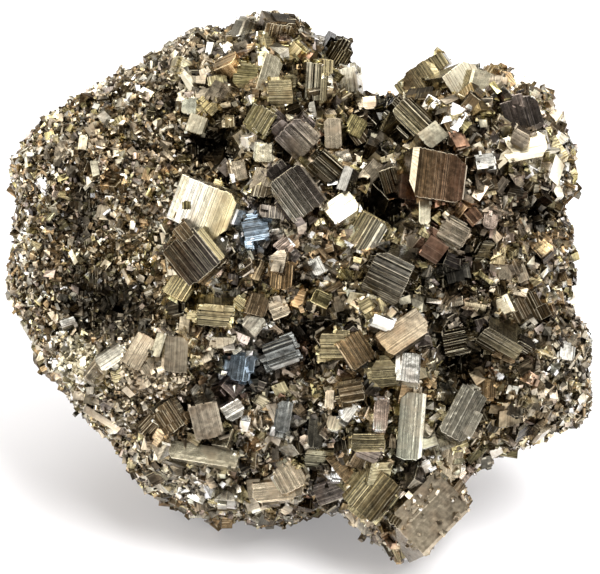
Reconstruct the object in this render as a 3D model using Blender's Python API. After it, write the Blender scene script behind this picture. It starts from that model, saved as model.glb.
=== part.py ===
"""Raw pyrite: one lump of massive, fine-grained pyrite with cubic crystals grown out of its front.

The lump, its lobes and hollows and every crystal big enough to see from a step away are one solid.
Its front is drawn as it is seen from one viewpoint: places there are pixels of a 600 x 574 view,
and sizes are millimetres. The underside is cut off flat at z = 0, the flat spot that it rests on.
"""

import math
from typing import NamedTuple

import bmesh
import bpy
import numpy as np
from mathutils import Euler, Matrix, Vector

# Driving dimensions, in metres and degrees
MM = 0.001
PIXEL = 0.17 * MM
VIEW_MIDDLE = (300, 287)
VIEW_ANGLE = 25.0
VIEW_DISTANCE = 0.60
MIDDLE_HEIGHT = 42.4 * MM
MIDDLE_FORWARD = 10.0 * MM
FRONT_DEPTH = 24.0 * MM
BACK_DEPTH = 40.0 * MM

# How full the lump is: the power of the superellipse that it has from its outline to its middle
FRONT_FULLNESS = 2.1
BACK_FULLNESS = 2.7

# The foot: the lower back reaches out to the surface that the lump rests on
FOOT_WAY = (-0.10, -0.66, -0.74)
FOOT_REACH = 0.13
FOOT_SPREAD = 0.42

LUMP_SUBDIVISIONS = 5
LUMP_KEPT_FACES = 0.38
PART_NAME = "pyrite_cluster"

# The edge of the lump as seen, clockwise from the top, in pixels
OUTLINE = (
    (262, 16), (285, 18), (302, 24), (316, 48), (326, 62), (350, 78), (354, 94), (378, 97), (402, 98),
    (425, 88), (450, 78), (472, 72), (497, 68), (516, 70), (528, 86), (546, 93), (556, 112), (568, 138),
    (574, 156), (575, 192), (562, 199), (563, 210), (570, 226), (571, 262), (569, 300), (571, 318),
    (590, 334), (592, 378), (594, 402), (582, 421), (550, 432), (522, 447), (488, 454), (464, 466),
    (455, 480), (466, 500), (438, 526), (411, 557), (397, 552), (372, 530), (348, 512), (318, 504),
    (290, 514), (256, 515), (246, 508), (214, 508), (180, 494), (152, 486), (138, 474), (126, 446),
    (104, 430), (86, 412), (62, 380), (46, 368), (43, 352), (30, 326), (15, 298), (12, 276), (16, 240),
    (20, 206), (16, 180), (16, 164), (36, 130), (52, 113), (98, 88), (142, 70), (172, 45), (192, 36),
    (230, 30), (250, 20),
)


class Swell(NamedTuple):
    """A hollow or a swelling of the front: its place in pixels, its radius and its height in mm."""

    px: float
    py: float
    radius: float
    height: float


SWELLS = (
    Swell(60, 230, 14, -4.0),
    Swell(150, 362, 9, 4.5),
    Swell(82, 358, 6, 2.5),
    Swell(95, 300, 6, -3.5),
    Swell(85, 200, 3, -2.0),
    Swell(210, 148, 5, -5.0),
    Swell(165, 104, 2, -1.5),
    Swell(285, 45, 7, 1.5),
    Swell(378, 115, 7, -4.5),
    Swell(372, 212, 4, -4.5),
    Swell(355, 150, 4, -2.5),
    Swell(300, 340, 5, -4.5),
    Swell(455, 350, 6, -6.0),
    Swell(450, 272, 5, -3.5),
    Swell(540, 208, 4, -4.0),
    Swell(500, 130, 10, 2.5),
    Swell(540, 385, 11, 3.0),
    Swell(420, 505, 9, 7.0),
    Swell(330, 500, 5, -2.0),
    Swell(215, 372, 5, -3.0),
    Swell(200, 470, 8, 1.5),
    Swell(240, 250, 16, 2.0),
    Swell(390, 420, 10, 2.0),
)


# The flat breaks of the back: how many, and how far out they lie as shares of the lump's own reach
BREAK_SEED = 23
BREAKS = 22
BREAK_SHARES = (0.80, 0.97)


class Crystal(NamedTuple):
    """A crystal of the front, given by its largest visible face.

    px and py are the middle of that face in pixels. along and across are its sides with and across its
    striations, and deep is the crystal's third side, in mm. grain is the direction of the striations,
    counter-clockwise from the right. turn and tip are how far the face looks to the right and up, in
    degrees. proud is how far its middle stands in front of the lump, in mm.
    """

    name: str
    px: float
    py: float
    along: float
    across: float
    deep: float
    grain: float
    turn: float
    tip: float
    proud: float


CRYSTALS = (
    Crystal("peak_cube", 281, 36, 4.2, 5.0, 5.4, 85, 18, -28, 2.4),
    Crystal("peak_chip", 248, 32, 3.8, 2.8, 3.6, 70, 25, -8, 1.8),
    Crystal("dark_knob", 337, 57, 4.4, 4.2, 6.0, 60, 5, -18, 2.2),
    Crystal("knob_foot", 345, 80, 4.4, 4.0, 5.0, 100, -15, 10, 2.6),
    Crystal("upright_flute", 317, 82, 6.2, 4.2, 5.0, 88, 22, -4, 3.0),
    Crystal("leaning_flute", 270, 74, 6.4, 3.2, 4.0, 72, 12, 6, 2.2),
    Crystal("ladder", 280, 94, 4.2, 4.8, 4.5, 2, -6, -14, 2.6),
    Crystal("olive_block", 245, 76, 4.6, 4.0, 4.5, -5, -10, 8, 2.0),
    Crystal("grey_flute", 260, 119, 4.2, 4.6, 5.0, 58, -22, 4, 2.4),
    Crystal("left_square", 190, 106, 2.8, 2.8, 3.0, 85, -6, 8, 1.6),
    Crystal("left_diamond", 197, 124, 3.3, 3.2, 3.4, 70, 4, 10, 2.0),
    Crystal("violet_diamond", 298, 138, 5.6, 5.8, 5.6, -45, 2, -14, 3.2),
    Crystal("pale_post", 333, 133, 5.2, 3.0, 4.0, 92, 8, 8, 3.4),
    Crystal("dark_diamond", 327, 166, 4.8, 4.4, 5.0, -42, 14, 10, 2.6),
    Crystal("white_barrel", 264, 152, 3.6, 3.6, 4.0, 86, -6, 12, 2.2),
    Crystal("beige_plate", 264, 182, 4.4, 4.2, 3.6, 70, -8, 12, 2.2),
    Crystal("beige_wing", 240, 170, 3.4, 3.0, 3.0, 100, 10, 12, 2.0),
    Crystal("cream_cube", 202, 207, 7.8, 10.4, 8.4, 68, -12, -12, 4.0),
    Crystal("brown_flute", 191, 257, 7.4, 6.8, 7.4, -52, -14, -8, 5.0),
    Crystal("centre_flute", 297, 193, 7.8, 6.8, 7.5, -53, 4, -6, 4.2),
    Crystal("bright_steps", 341, 206, 5.4, 4.4, 5.0, 36, -4, 20, 4.0),
    Crystal("white_edge", 344, 178, 4.2, 2.0, 3.0, 75, -24, 14, 3.4),
    Crystal("blue_chip", 256, 229, 4.2, 4.0, 4.0, 10, 6, 16, 2.0),
    Crystal("rose_diamond", 284, 246, 2.7, 2.7, 3.0, 40, 4, 12, 2.6),
    Crystal("small_white", 317, 266, 2.9, 2.2, 3.0, -65, 8, 16, 2.6),
    Crystal("tan_knob", 178, 287, 3.8, 3.8, 4.0, 60, -8, 14, 3.0),
    Crystal("plain_brown", 281, 276, 4.4, 3.8, 4.0, 86, -10, 4, 2.6),
    Crystal("bar_block", 214, 316, 5.4, 3.8, 5.0, -6, 2, -26, 3.4),
    Crystal("pale_chunk", 279, 309, 3.2, 3.0, 3.0, 20, 10, 14, 2.2),
    Crystal("pale_lump", 254, 322, 3.6, 3.4, 3.4, 50, 12, 16, 2.6),
    Crystal("gold_chip", 241, 303, 2.6, 2.4, 2.6, -40, 4, 8, 2.4),
    Crystal("fan_flute", 364, 232, 5.8, 6.2, 6.0, 60, -10, 8, 4.0),
    Crystal("lower_flute", 388, 278, 6.8, 7.8, 7.4, -27, -8, -16, 4.4),
    Crystal("pale_slab", 403, 332, 8.6, 4.6, 6.0, 34, 8, 16, 4.2),
    Crystal("white_facet", 383, 322, 3.8, 2.6, 3.0, -22, 2, 20, 3.8),
    Crystal("white_steps", 409, 367, 5.0, 3.8, 4.0, 84, 6, 16, 4.0),
    Crystal("gold_block", 333, 347, 4.2, 4.6, 5.0, 0, -8, -12, 3.2),
    Crystal("tan_hump", 356, 350, 5.4, 4.6, 5.0, -58, 4, 8, 3.8),
    Crystal("gold_steps", 385, 373, 4.4, 4.4, 5.0, 4, -4, -10, 3.2),
    Crystal("tan_hexagon", 453, 233, 4.8, 4.0, 4.4, -30, -4, -10, 3.4),
    Crystal("rust_chip", 474, 215, 2.6, 2.4, 2.6, -50, 6, 4, 2.8),
    Crystal("deep_blue", 458, 342, 5.0, 4.4, 5.0, 12, 2, 6, 2.2),
    Crystal("slant_ledge", 500, 344, 7.6, 3.4, 6.0, -36, -6, -34, 3.6),
    Crystal("right_square", 505, 272, 2.7, 2.5, 2.8, 88, 4, 10, 1.6),
    Crystal("right_square_b", 521, 272, 3.2, 2.1, 2.8, -70, 8, 12, 1.6),
    Crystal("dark_blades", 525, 310, 4.8, 6.0, 5.0, -62, 8, -4, 1.8),
    Crystal("gold_dot", 366, 305, 2.2, 2.2, 2.4, 30, -4, 8, 2.6),
    Crystal("pale_pillar", 425, 212, 4.2, 1.9, 3.0, 88, 4, 14, 3.4),
    Crystal("rose_square", 490, 221, 2.5, 2.3, 2.6, 80, 6, 12, 2.2),
    Crystal("corner_cube", 426, 82, 6.6, 6.4, 7.4, -54, -24, -16, 5.6),
    Crystal("dark_flute", 414, 117, 7.0, 5.4, 6.0, -48, 24, 20, 5.0),
    Crystal("pale_corner", 433, 135, 4.6, 3.4, 4.0, 35, 20, 24, 3.6),
    Crystal("rust_cube", 439, 176, 8.0, 9.2, 8.6, 82, 12, 4, 5.6),
    Crystal("cream_flute", 481, 83, 4.6, 3.8, 4.6, 74, 12, 10, 2.8),
    Crystal("grey_plate", 496, 84, 3.2, 2.8, 3.0, 84, -8, 14, 2.2),
    Crystal("white_crown", 517, 80, 3.6, 3.6, 4.0, -46, 10, 18, 2.4),
    Crystal("violet_block", 522, 114, 5.4, 6.2, 6.0, -72, 2, -8, 3.6),
    Crystal("white_shell", 524, 146, 7.6, 4.4, 5.0, 12, 0, 22, 2.8),
    Crystal("shell_cap", 520, 139, 3.2, 2.6, 3.0, -30, -10, -14, 4.2),
    Crystal("white_wedge", 485, 160, 3.2, 2.4, 3.0, 8, 4, 20, 2.6),
    Crystal("notch_beige", 371, 172, 4.0, 3.0, 3.6, 52, -8, 12, 2.6),
    Crystal("notch_dark", 390, 180, 4.2, 3.0, 4.0, -72, 6, -8, 2.4),
    Crystal("notch_olive", 357, 126, 3.4, 3.0, 3.4, 60, 12, 8, 2.2),
    Crystal("notch_chip", 373, 140, 2.6, 1.2, 2.0, 80, -4, 16, 2.0),
    Crystal("notch_ledge", 366, 103, 3.8, 2.4, 3.4, 5, -6, 20, 1.6),
    Crystal("shelf", 152, 362, 9.0, 10.6, 9.0, 96, -10, 20, 1.8),
    Crystal("shelf_wing", 84, 360, 6.0, 8.0, 6.0, 70, -16, 22, 1.6),
    Crystal("brown_step", 172, 415, 4.8, 4.2, 5.0, -56, -10, 4, 2.6),
    Crystal("tan_step", 152, 426, 4.4, 4.4, 5.0, 46, -12, -6, 2.2),
    Crystal("pale_leaf", 206, 421, 6.2, 4.8, 6.0, 100, -8, -18, 3.6),
    Crystal("white_chip", 233, 409, 3.8, 3.4, 4.0, 30, 6, 14, 2.8),
    Crystal("long_bars", 204, 454, 11.5, 3.0, 5.0, -9, -4, 12, 2.8),
    Crystal("foot_fan", 290, 476, 4.8, 5.2, 5.0, -62, 4, 10, 3.4),
    Crystal("foot_plate", 274, 490, 7.2, 3.8, 5.0, 6, -4, 8, 4.0),
    Crystal("ice_cube", 280, 353, 5.4, 4.6, 5.0, 20, 4, 14, 2.8),
    Crystal("steel_plate", 240, 368, 4.4, 3.6, 4.0, 82, -4, 6, 2.6),
    Crystal("steel_post", 316, 432, 5.6, 2.6, 4.0, 84, 10, 6, 2.4),
    Crystal("ice_post", 283, 416, 5.6, 2.7, 4.0, 82, -6, 12, 2.8),
    Crystal("amber_chip", 258, 443, 2.2, 2.2, 2.6, 30, 8, 6, 2.0),
    Crystal("tip_block", 428, 512, 11.6, 9.4, 10.0, 43, 12, 10, 4.2),
    Crystal("tip_flute", 371, 493, 8.0, 7.2, 8.0, 51, -12, -4, 3.6),
    Crystal("teal_slab", 411, 426, 11.4, 4.2, 6.0, 86, -6, 6, 4.6),
    Crystal("grey_blade", 463, 414, 9.0, 4.8, 6.0, 61, 6, 10, 5.2),
    Crystal("white_square", 339, 470, 2.9, 2.6, 3.0, 88, 2, 18, 3.0),
    Crystal("grey_foot", 330, 491, 5.2, 3.8, 4.4, 20, -4, -6, 3.6),
    Crystal("white_bit", 349, 412, 3.4, 1.8, 2.6, 52, 6, 18, 3.4),
    Crystal("tan_bead", 334, 423, 2.5, 2.5, 2.8, 75, -8, 8, 3.0),
    Crystal("gold_bars", 368, 443, 5.6, 3.0, 4.4, 0, 4, -8, 3.6),
    Crystal("rose_pillar", 381, 415, 5.2, 2.4, 3.4, 86, 4, 12, 3.6),
    Crystal("pale_oval", 330, 399, 3.2, 1.6, 2.6, 86, 4, 14, 3.2),
    Crystal("brown_face", 351, 391, 4.2, 3.6, 4.0, 10, -6, 4, 3.2),
    Crystal("pale_heel", 450, 461, 6.4, 4.2, 5.0, 80, 10, 12, 3.0),
    Crystal("white_bead", 427, 466, 1.8, 1.8, 2.4, 30, 4, 16, 3.4),
    Crystal("lobe_white", 567, 352, 2.8, 2.5, 3.0, 80, 4, 20, 1.8),
    Crystal("lobe_beige", 515, 408, 2.8, 2.8, 3.0, 88, 2, 12, 1.6),
    Crystal("lobe_brown", 488, 390, 2.8, 2.8, 3.0, 88, 4, 4, 1.8),
    Crystal("left_cream", 83, 142, 2.8, 1.5, 2.2, 82, 6, 16, 1.0),
    Crystal("left_blade", 95, 168, 3.0, 1.3, 2.2, 100, 6, 16, 1.0),
    Crystal("left_beige", 103, 211, 2.5, 2.2, 2.6, 84, -6, 14, 1.2),
    Crystal("left_shard", 68, 322, 2.8, 1.8, 2.4, 20, -6, 18, 1.2),
)


class Scatter(NamedTuple):
    """A sowing of smaller crystals over a part of the lump.

    count is how many, smallest and largest are their sides in mm, and out is how much of a side their
    middles stand out by. first and last are the directions that they lie between, counter-clockwise
    from the right in degrees. low and high are the sines of their latitudes, from -1 at the middle of
    the back to 1 at the middle of the front.
    """

    seed: int
    count: int
    smallest: float
    largest: float
    out: float
    first: float
    last: float
    low: float
    high: float


SCATTERS = (
    Scatter(3, 24, 2.2, 3.8, 0.16, -180, 180, 0.60, 0.99),
    Scatter(4, 26, 1.9, 3.2, 0.10, 130, 235, 0.12, 0.80),
    Scatter(5, 14, 2.0, 3.6, 0.10, -40, 60, 0.05, 0.60),
    Scatter(6, 36, 2.2, 4.2, 0.02, -180, 180, -0.40, 0.06),
    Scatter(8, 36, 2.6, 6.4, 0.10, -180, 180, -0.97, -0.40),
)


class Relief(NamedTuple):
    """Folded waves that roughen the lump: how many, their lengths and their height, both in mm."""

    seed: int
    count: int
    shortest: float
    longest: float
    height: float


RELIEFS = (
    Relief(11, 20, 14.0, 36.0, 2.8),
    Relief(17, 26, 6.0, 11.0, 1.7),
)
RIM_SHARE = 0.25


def view_matrix():
    """The view's axes as columns: right, up in the picture, and towards the viewpoint."""
    lean = math.radians(VIEW_ANGLE)
    return np.array(
        (
            (1.0, 0.0, 0.0),
            (0.0, math.sin(lean), -math.cos(lean)),
            (0.0, math.cos(lean), math.sin(lean)),
        )
    )


def to_world(points):
    """Points given by right, up and towards the viewpoint, as x, y and z."""
    return points @ view_matrix().T + np.array((0.0, -MIDDLE_FORWARD, MIDDLE_HEIGHT))


def on_plane(px, py):
    """The place of a pixel on the plane through the lump's middle."""
    return (px - VIEW_MIDDLE[0]) * PIXEL, (VIEW_MIDDLE[1] - py) * PIXEL


def outline_reach(theta):
    """How far the outline lies from the middle in each direction."""
    right, up = on_plane(*np.array(OUTLINE, float).T)
    turn = np.arctan2(up, right)
    order = np.argsort(turn)
    return np.interp(theta, turn[order], np.hypot(right, up)[order], period=2 * math.pi)


def smooth_step(value):
    """0 below 0, 1 above 1, and a smooth rise between."""
    value = np.clip(value, 0.0, 1.0)
    return value * value * (3.0 - 2.0 * value)


def waves(points, relief):
    """The height of a relief at some points: plane waves summed, folded so that they meet in creases."""
    rng = np.random.default_rng(relief.seed)
    total = np.zeros(points.shape[:-1])
    for _ in range(relief.count):
        way = rng.normal(size=3)
        way /= np.linalg.norm(way)
        length = rng.uniform(relief.shortest, relief.longest)
        phase = rng.uniform(0.0, 2.0 * math.pi)
        wave = np.abs(np.sin(points @ way * (math.pi / (length * MM)) + phase))
        total += (0.6 - wave) * math.sqrt(length / relief.longest)
    return total * relief.height * MM / math.sqrt(relief.count)


def whole_reach(ways):
    """How far the unbroken lump reaches from its middle in each direction.

    Its section through the line of sight is a superellipse from the outline to the front or the back.
    """
    right, up, near = np.moveaxis(ways, -1, 0)
    aside = np.hypot(right, up) / outline_reach(np.arctan2(up, right))
    front = near > 0.0
    along = np.abs(near) / np.where(front, FRONT_DEPTH, BACK_DEPTH)
    power = np.where(front, FRONT_FULLNESS, BACK_FULLNESS)
    return (aside**power + along**power) ** (-1.0 / power)


def foot_share(ways):
    """1 in the middle of the foot, falling to 0 at its edge."""
    foot = np.array(FOOT_WAY) / np.linalg.norm(FOOT_WAY)
    return smooth_step((ways @ foot - 1.0 + FOOT_SPREAD) / FOOT_SPREAD)


def break_reach(ways):
    """How far out the nearest flat break of the back lies in each direction."""
    rng = np.random.default_rng(BREAK_SEED)
    nearest = np.full(ways.shape[:-1], np.inf)
    for _ in range(BREAKS):
        facing = rng.normal(size=3)
        facing[2] = -abs(facing[2])
        facing /= np.linalg.norm(facing)
        out = whole_reach(facing) * rng.uniform(*BREAK_SHARES)
        slope = ways @ facing
        nearest = np.where(slope > 0.05, np.minimum(nearest, out / np.maximum(slope, 0.05)), nearest)
    return nearest


def lump_reach(ways):
    """How far the lump reaches from its middle in each direction, a unit vector in the view's axes.

    The whole lump is cut back to the flat breaks behind, but for the foot, which reaches out further.
    Then the front is raised and sunk by its swells, and the folded waves roughen all of it.
    """
    near = ways[..., 2]
    reach = whole_reach(ways)
    broken = np.minimum(reach, break_reach(ways))
    foot = foot_share(ways)
    reach = reach + (broken - reach) * smooth_step(-near / 0.3) * (1.0 - foot)
    reach = reach * (1.0 + FOOT_REACH * foot)
    points = ways * reach[..., None]
    for swell in SWELLS:
        at_right, at_up = on_plane(swell.px, swell.py)
        apart = np.hypot(points[..., 0] - at_right, points[..., 1] - at_up) / (swell.radius * MM)
        reach = reach + swell.height * MM * np.exp(-apart * apart) * smooth_step(near / 0.5)
    share = RIM_SHARE + (1.0 - RIM_SHARE) * smooth_step(np.abs(near) / 0.5)
    return reach + share * sum(waves(points, relief) for relief in RELIEFS)


def lump(ways):
    """The points of the lump in these directions."""
    return ways * lump_reach(ways)[..., None]


def direction(theta, lift):
    """The direction at an angle round the outline whose sine of latitude is lift."""
    level = np.sqrt(np.clip(1.0 - lift * lift, 0.0, 1.0))
    return np.stack((level * np.cos(theta), level * np.sin(theta), lift + 0.0 * theta), axis=-1)


def lump_grid():
    """A fine grid of lump points over the front, by which a pixel finds its place."""
    theta, lift = np.meshgrid(np.linspace(-math.pi, math.pi, 541), np.linspace(0.0, 1.0, 300))
    return lump(direction(theta, lift)).reshape(-1, 3)


def depth_at(px, py, grid):
    """How near to the viewpoint the front is where it is seen at a pixel."""
    scale = VIEW_DISTANCE / (VIEW_DISTANCE - grid[:, 2])
    right, up = on_plane(px, py)
    apart = np.hypot(grid[:, 0] * scale - right, grid[:, 1] * scale - up)
    return grid[np.argmin(apart), 2]


def seen_at(px, py, depth):
    """The point this near to the viewpoint that is seen at a pixel."""
    right, up = on_plane(px, py)
    scale = 1.0 - depth / VIEW_DISTANCE
    return np.array((right * scale, up * scale, depth))


def new_collection(name):
    """A collection linked to the scene."""
    made = bpy.data.collections.new(name)
    bpy.context.scene.collection.children.link(made)
    return made


def box_object(name, sides, centre, turned, collection):
    """A box of these sides about centre, turned by a 3 x 3 matrix, used only to be fused."""
    mesh = bpy.data.meshes.new(name)
    shape = bmesh.new()
    bmesh.ops.create_cube(shape, size=1.0)
    bmesh.ops.scale(shape, vec=Vector(sides), verts=shape.verts)
    place = Matrix.Translation(Vector(centre)) @ Matrix(turned.tolist()).to_4x4()
    bmesh.ops.transform(shape, matrix=place, verts=shape.verts)
    shape.to_mesh(mesh)
    shape.free()
    made = bpy.data.objects.new(name, mesh)
    made.hide_render = True
    made.display_type = "WIRE"
    collection.objects.link(made)
    return made


def face_turn(grain, turn, tip):
    """The rotation, in the view's axes, of a crystal whose front face looks along its own +Z."""
    roll = Euler((0.0, 0.0, math.radians(grain - 90.0))).to_matrix()
    tilt = Euler((math.radians(-tip), 0.0, 0.0)).to_matrix()
    swing = Euler((0.0, math.radians(turn), 0.0)).to_matrix()
    return np.array(swing @ tilt @ roll)


def add_front_crystals(collection):
    """Every crystal of the front, with the middle of its face where it is seen."""
    grid = lump_grid()
    for crystal in CRYSTALS:
        turned = face_turn(crystal.grain, crystal.turn, crystal.tip)
        depth = depth_at(crystal.px, crystal.py, grid) + crystal.proud * MM
        face = seen_at(crystal.px, crystal.py, depth)
        centre = face - turned @ np.array((0.0, 0.0, crystal.deep * MM / 2))
        sides = (crystal.across * MM, crystal.along * MM, crystal.deep * MM)
        box_object(crystal.name, sides, to_world(centre), view_matrix() @ turned, collection)


def random_turn(rng):
    """A rotation drawn evenly from all rotations, from four normal numbers as a quaternion."""
    w, x, y, z = (number for number in rng.normal(size=4))
    size = w * w + x * x + y * y + z * z
    return np.array(
        (
            (size - 2 * (y * y + z * z), 2 * (x * y - w * z), 2 * (x * z + w * y)),
            (2 * (x * y + w * z), size - 2 * (x * x + z * z), 2 * (y * z - w * x)),
            (2 * (x * z - w * y), 2 * (y * z + w * x), size - 2 * (x * x + y * y)),
        )
    ) / size


def add_scattered_crystals(collection):
    """Smaller crystals strewn over the lump, each partly sunk into it."""
    for scatter in SCATTERS:
        rng = np.random.default_rng(scatter.seed)
        for number in range(scatter.count):
            theta = math.radians(rng.uniform(scatter.first, scatter.last))
            lift = rng.uniform(scatter.low, scatter.high)
            side = rng.uniform(scatter.smallest, scatter.largest) * MM
            sides = side * rng.uniform(0.75, 1.1, size=3)
            turned = random_turn(rng)
            way = direction(np.array(theta), np.array(lift))
            centre = to_world(lump(way) + way * side * scatter.out)
            name = f"scattered_{scatter.seed}_{number}"
            box_object(name, sides, centre, view_matrix() @ turned, collection)


def add_lump(collection):
    """The lump itself: a ball whose points are moved to where the lump function puts them."""
    bpy.ops.mesh.primitive_ico_sphere_add(subdivisions=LUMP_SUBDIVISIONS, radius=1.0)
    ball = bpy.context.object
    ball.name = PART_NAME
    mesh = ball.data
    points = np.empty(len(mesh.vertices) * 3)
    mesh.vertices.foreach_get("co", points)
    ways = points.reshape(-1, 3)
    ways = ways / np.linalg.norm(ways, axis=1, keepdims=True)
    mesh.vertices.foreach_set("co", to_world(lump(ways)).ravel())
    mesh.update()
    for owner in tuple(ball.users_collection):
        owner.objects.unlink(ball)
    collection.objects.link(ball)
    return ball


def add_ground_cutter(collection):
    """A block whose top is the plane z = 0, which cuts the flat spot."""
    width = 0.2
    sides = (width, width, width / 2)
    return box_object("under_the_flat_spot", sides, (0.0, 0.0, -width / 4), np.eye(3), collection)


def fuse(body, crystals, cutter):
    """Joins the crystals to the body, cuts it flat below, and makes the result its mesh."""
    thin = body.modifiers.new("fewer_faces_where_flat", "DECIMATE")
    thin.ratio = LUMP_KEPT_FACES
    join = body.modifiers.new("join_crystals", "BOOLEAN")
    join.operation = "UNION"
    join.operand_type = "COLLECTION"
    join.collection = crystals
    join.solver = "EXACT"
    cut = body.modifiers.new("cut_flat_spot", "BOOLEAN")
    cut.operation = "DIFFERENCE"
    cut.object = cutter
    cut.solver = "EXACT"
    graph = bpy.context.evaluated_depsgraph_get()
    fused = bpy.data.meshes.new_from_object(body.evaluated_get(graph))
    body.modifiers.clear()
    body.data = fused


def outer_shell_only(mesh):
    """Fills the pockets that crystals close off inside the lump, by taking out their walls."""
    shape = bmesh.new()
    shape.from_mesh(mesh)
    bmesh.ops.triangulate(shape, faces=shape.faces)
    left = set(shape.faces)
    shells = []
    while left:
        front = [left.pop()]
        shell = set(front)
        while front:
            face = front.pop()
            near = {other for edge in face.edges for other in edge.link_faces} & left
            left -= near
            shell |= near
            front.extend(near)
        shells.append(shell)
    outer = max(shells, key=len)
    inner = [face for shell in shells if shell is not outer for face in shell]
    bmesh.ops.delete(shape, geom=inner, context="FACES")
    shape.to_mesh(mesh)
    shape.free()


def pyrite_material():
    """Pale brass-yellow metal, a little dulled."""
    made = bpy.data.materials.new("pyrite")
    made.use_nodes = True
    shader = made.node_tree.nodes["Principled BSDF"]
    shader.inputs["Base Color"].default_value = (0.46, 0.38, 0.25, 1.0)
    shader.inputs["Metallic"].default_value = 1.0
    shader.inputs["Roughness"].default_value = 0.34
    return made


def main():
    """Builds the lump, fuses its crystals and cuts the flat spot."""
    for old in tuple(bpy.data.objects):
        bpy.data.objects.remove(old)
    part = new_collection("raw_pyrite")
    crystals = new_collection("crystals_to_fuse")
    cutters = new_collection("cutters")
    body = add_lump(part)
    add_front_crystals(crystals)
    add_scattered_crystals(crystals)
    cutter = add_ground_cutter(cutters)
    fuse(body, crystals, cutter)
    outer_shell_only(body.data)
    body.data.materials.clear()
    body.data.materials.append(pyrite_material())


main()
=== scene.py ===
"""Looks of the raw pyrite cluster: massive fine-grained pyrite crowded with striated cubic crystals.

The lump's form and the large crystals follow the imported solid, from the same named values, but for
nine small crystals that stand only here and three that are turned or moved a little. Places on the
front are pixels of a 600 x 574 view, sizes are millimetres unless a name says otherwise, and meshes
are in metres.
"""

from __future__ import annotations

import logging
import math
from dataclasses import dataclass, field, replace
from enum import Enum
from typing import NamedTuple

import bpy
import numpy as np
from mathutils import Euler, Matrix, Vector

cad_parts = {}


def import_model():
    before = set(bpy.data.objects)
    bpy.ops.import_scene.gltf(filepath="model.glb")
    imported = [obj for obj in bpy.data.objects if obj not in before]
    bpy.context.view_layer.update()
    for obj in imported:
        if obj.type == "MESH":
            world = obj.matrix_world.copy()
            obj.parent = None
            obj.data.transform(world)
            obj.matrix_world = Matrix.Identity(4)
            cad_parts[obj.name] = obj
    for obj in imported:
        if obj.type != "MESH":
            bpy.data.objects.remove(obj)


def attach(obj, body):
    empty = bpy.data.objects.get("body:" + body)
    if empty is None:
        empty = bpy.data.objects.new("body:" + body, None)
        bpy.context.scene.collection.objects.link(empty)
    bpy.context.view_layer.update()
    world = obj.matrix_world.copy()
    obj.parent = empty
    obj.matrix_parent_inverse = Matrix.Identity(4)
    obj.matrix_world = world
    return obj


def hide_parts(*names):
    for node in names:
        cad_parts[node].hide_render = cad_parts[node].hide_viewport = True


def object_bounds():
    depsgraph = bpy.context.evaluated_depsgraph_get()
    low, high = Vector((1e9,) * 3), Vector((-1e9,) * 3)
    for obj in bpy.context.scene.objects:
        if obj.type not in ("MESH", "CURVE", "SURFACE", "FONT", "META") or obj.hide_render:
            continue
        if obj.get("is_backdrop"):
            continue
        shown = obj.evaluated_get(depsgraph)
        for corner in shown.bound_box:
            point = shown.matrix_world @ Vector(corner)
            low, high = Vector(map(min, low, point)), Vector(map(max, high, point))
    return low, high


LOG = logging.getLogger("pyrite")
MM = 0.001
NODE = "pyrite_cluster"


class Tone(Enum):
    """The metal's colour on a crystal: clean, brassy, browned or iridescent, as linear colours."""

    WHITE = (0.80, 0.775, 0.70)
    CREAM = (0.64, 0.585, 0.43)
    TAN = (0.335, 0.285, 0.21)
    STRAW = (0.58, 0.50, 0.30)
    GOLD = (0.42, 0.355, 0.20)
    OLIVE = (0.22, 0.188, 0.09)
    BROWN = (0.178, 0.124, 0.066)
    RUST = (0.19, 0.112, 0.072)
    AMBER = (0.29, 0.19, 0.10)
    ROSE = (0.43, 0.34, 0.28)
    VIOLET = (0.135, 0.114, 0.10)
    STEEL = (0.31, 0.29, 0.235)
    BLUE = (0.21, 0.265, 0.32)
    TEAL = (0.32, 0.325, 0.265)
    ICE = (0.57, 0.59, 0.57)
    DARK = (0.060, 0.043, 0.020)


class Sheen(Enum):
    """Painted light and shade: how light a crystal looks beside others of its tone, as a factor.

    Each crystal's is the lightness of its face in the view over that in a render, in six steps.
    """

    DEEP_SHADE = 0.35
    DIM = 0.52
    SOFT = 0.74
    EVEN = 1.0
    BRIGHT = 1.35
    GLOWING = 1.85


LUMINANCE = np.array((0.2126, 0.7152, 0.0722))


def lightness(colours: np.ndarray) -> np.ndarray:
    """How light linear colours look, from 0 to 1."""
    return colours[..., :3] @ LUMINANCE


def shaded(tones: np.ndarray, light: np.ndarray | float) -> np.ndarray:
    """Tones multiplied by a light each, the strength of their striations left as it is.

    Args:
        tones: Colours with that strength as a fourth number.
        light: What each colour is multiplied by.

    Returns:
        The tones.
    """
    light = np.asarray(light)[..., None]
    colours = np.clip(tones[..., :3] * light, 0.0, 1.0)
    strength = np.broadcast_to(tones[..., 3:], (*colours.shape[:-1], 1))
    return np.concatenate((colours, strength), axis=-1)


def smooth_step(value: np.ndarray) -> np.ndarray:
    """0 below 0, 1 above 1, and a smooth rise between."""
    value = np.clip(value, 0.0, 1.0)
    return value * value * (3.0 - 2.0 * value)


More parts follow.
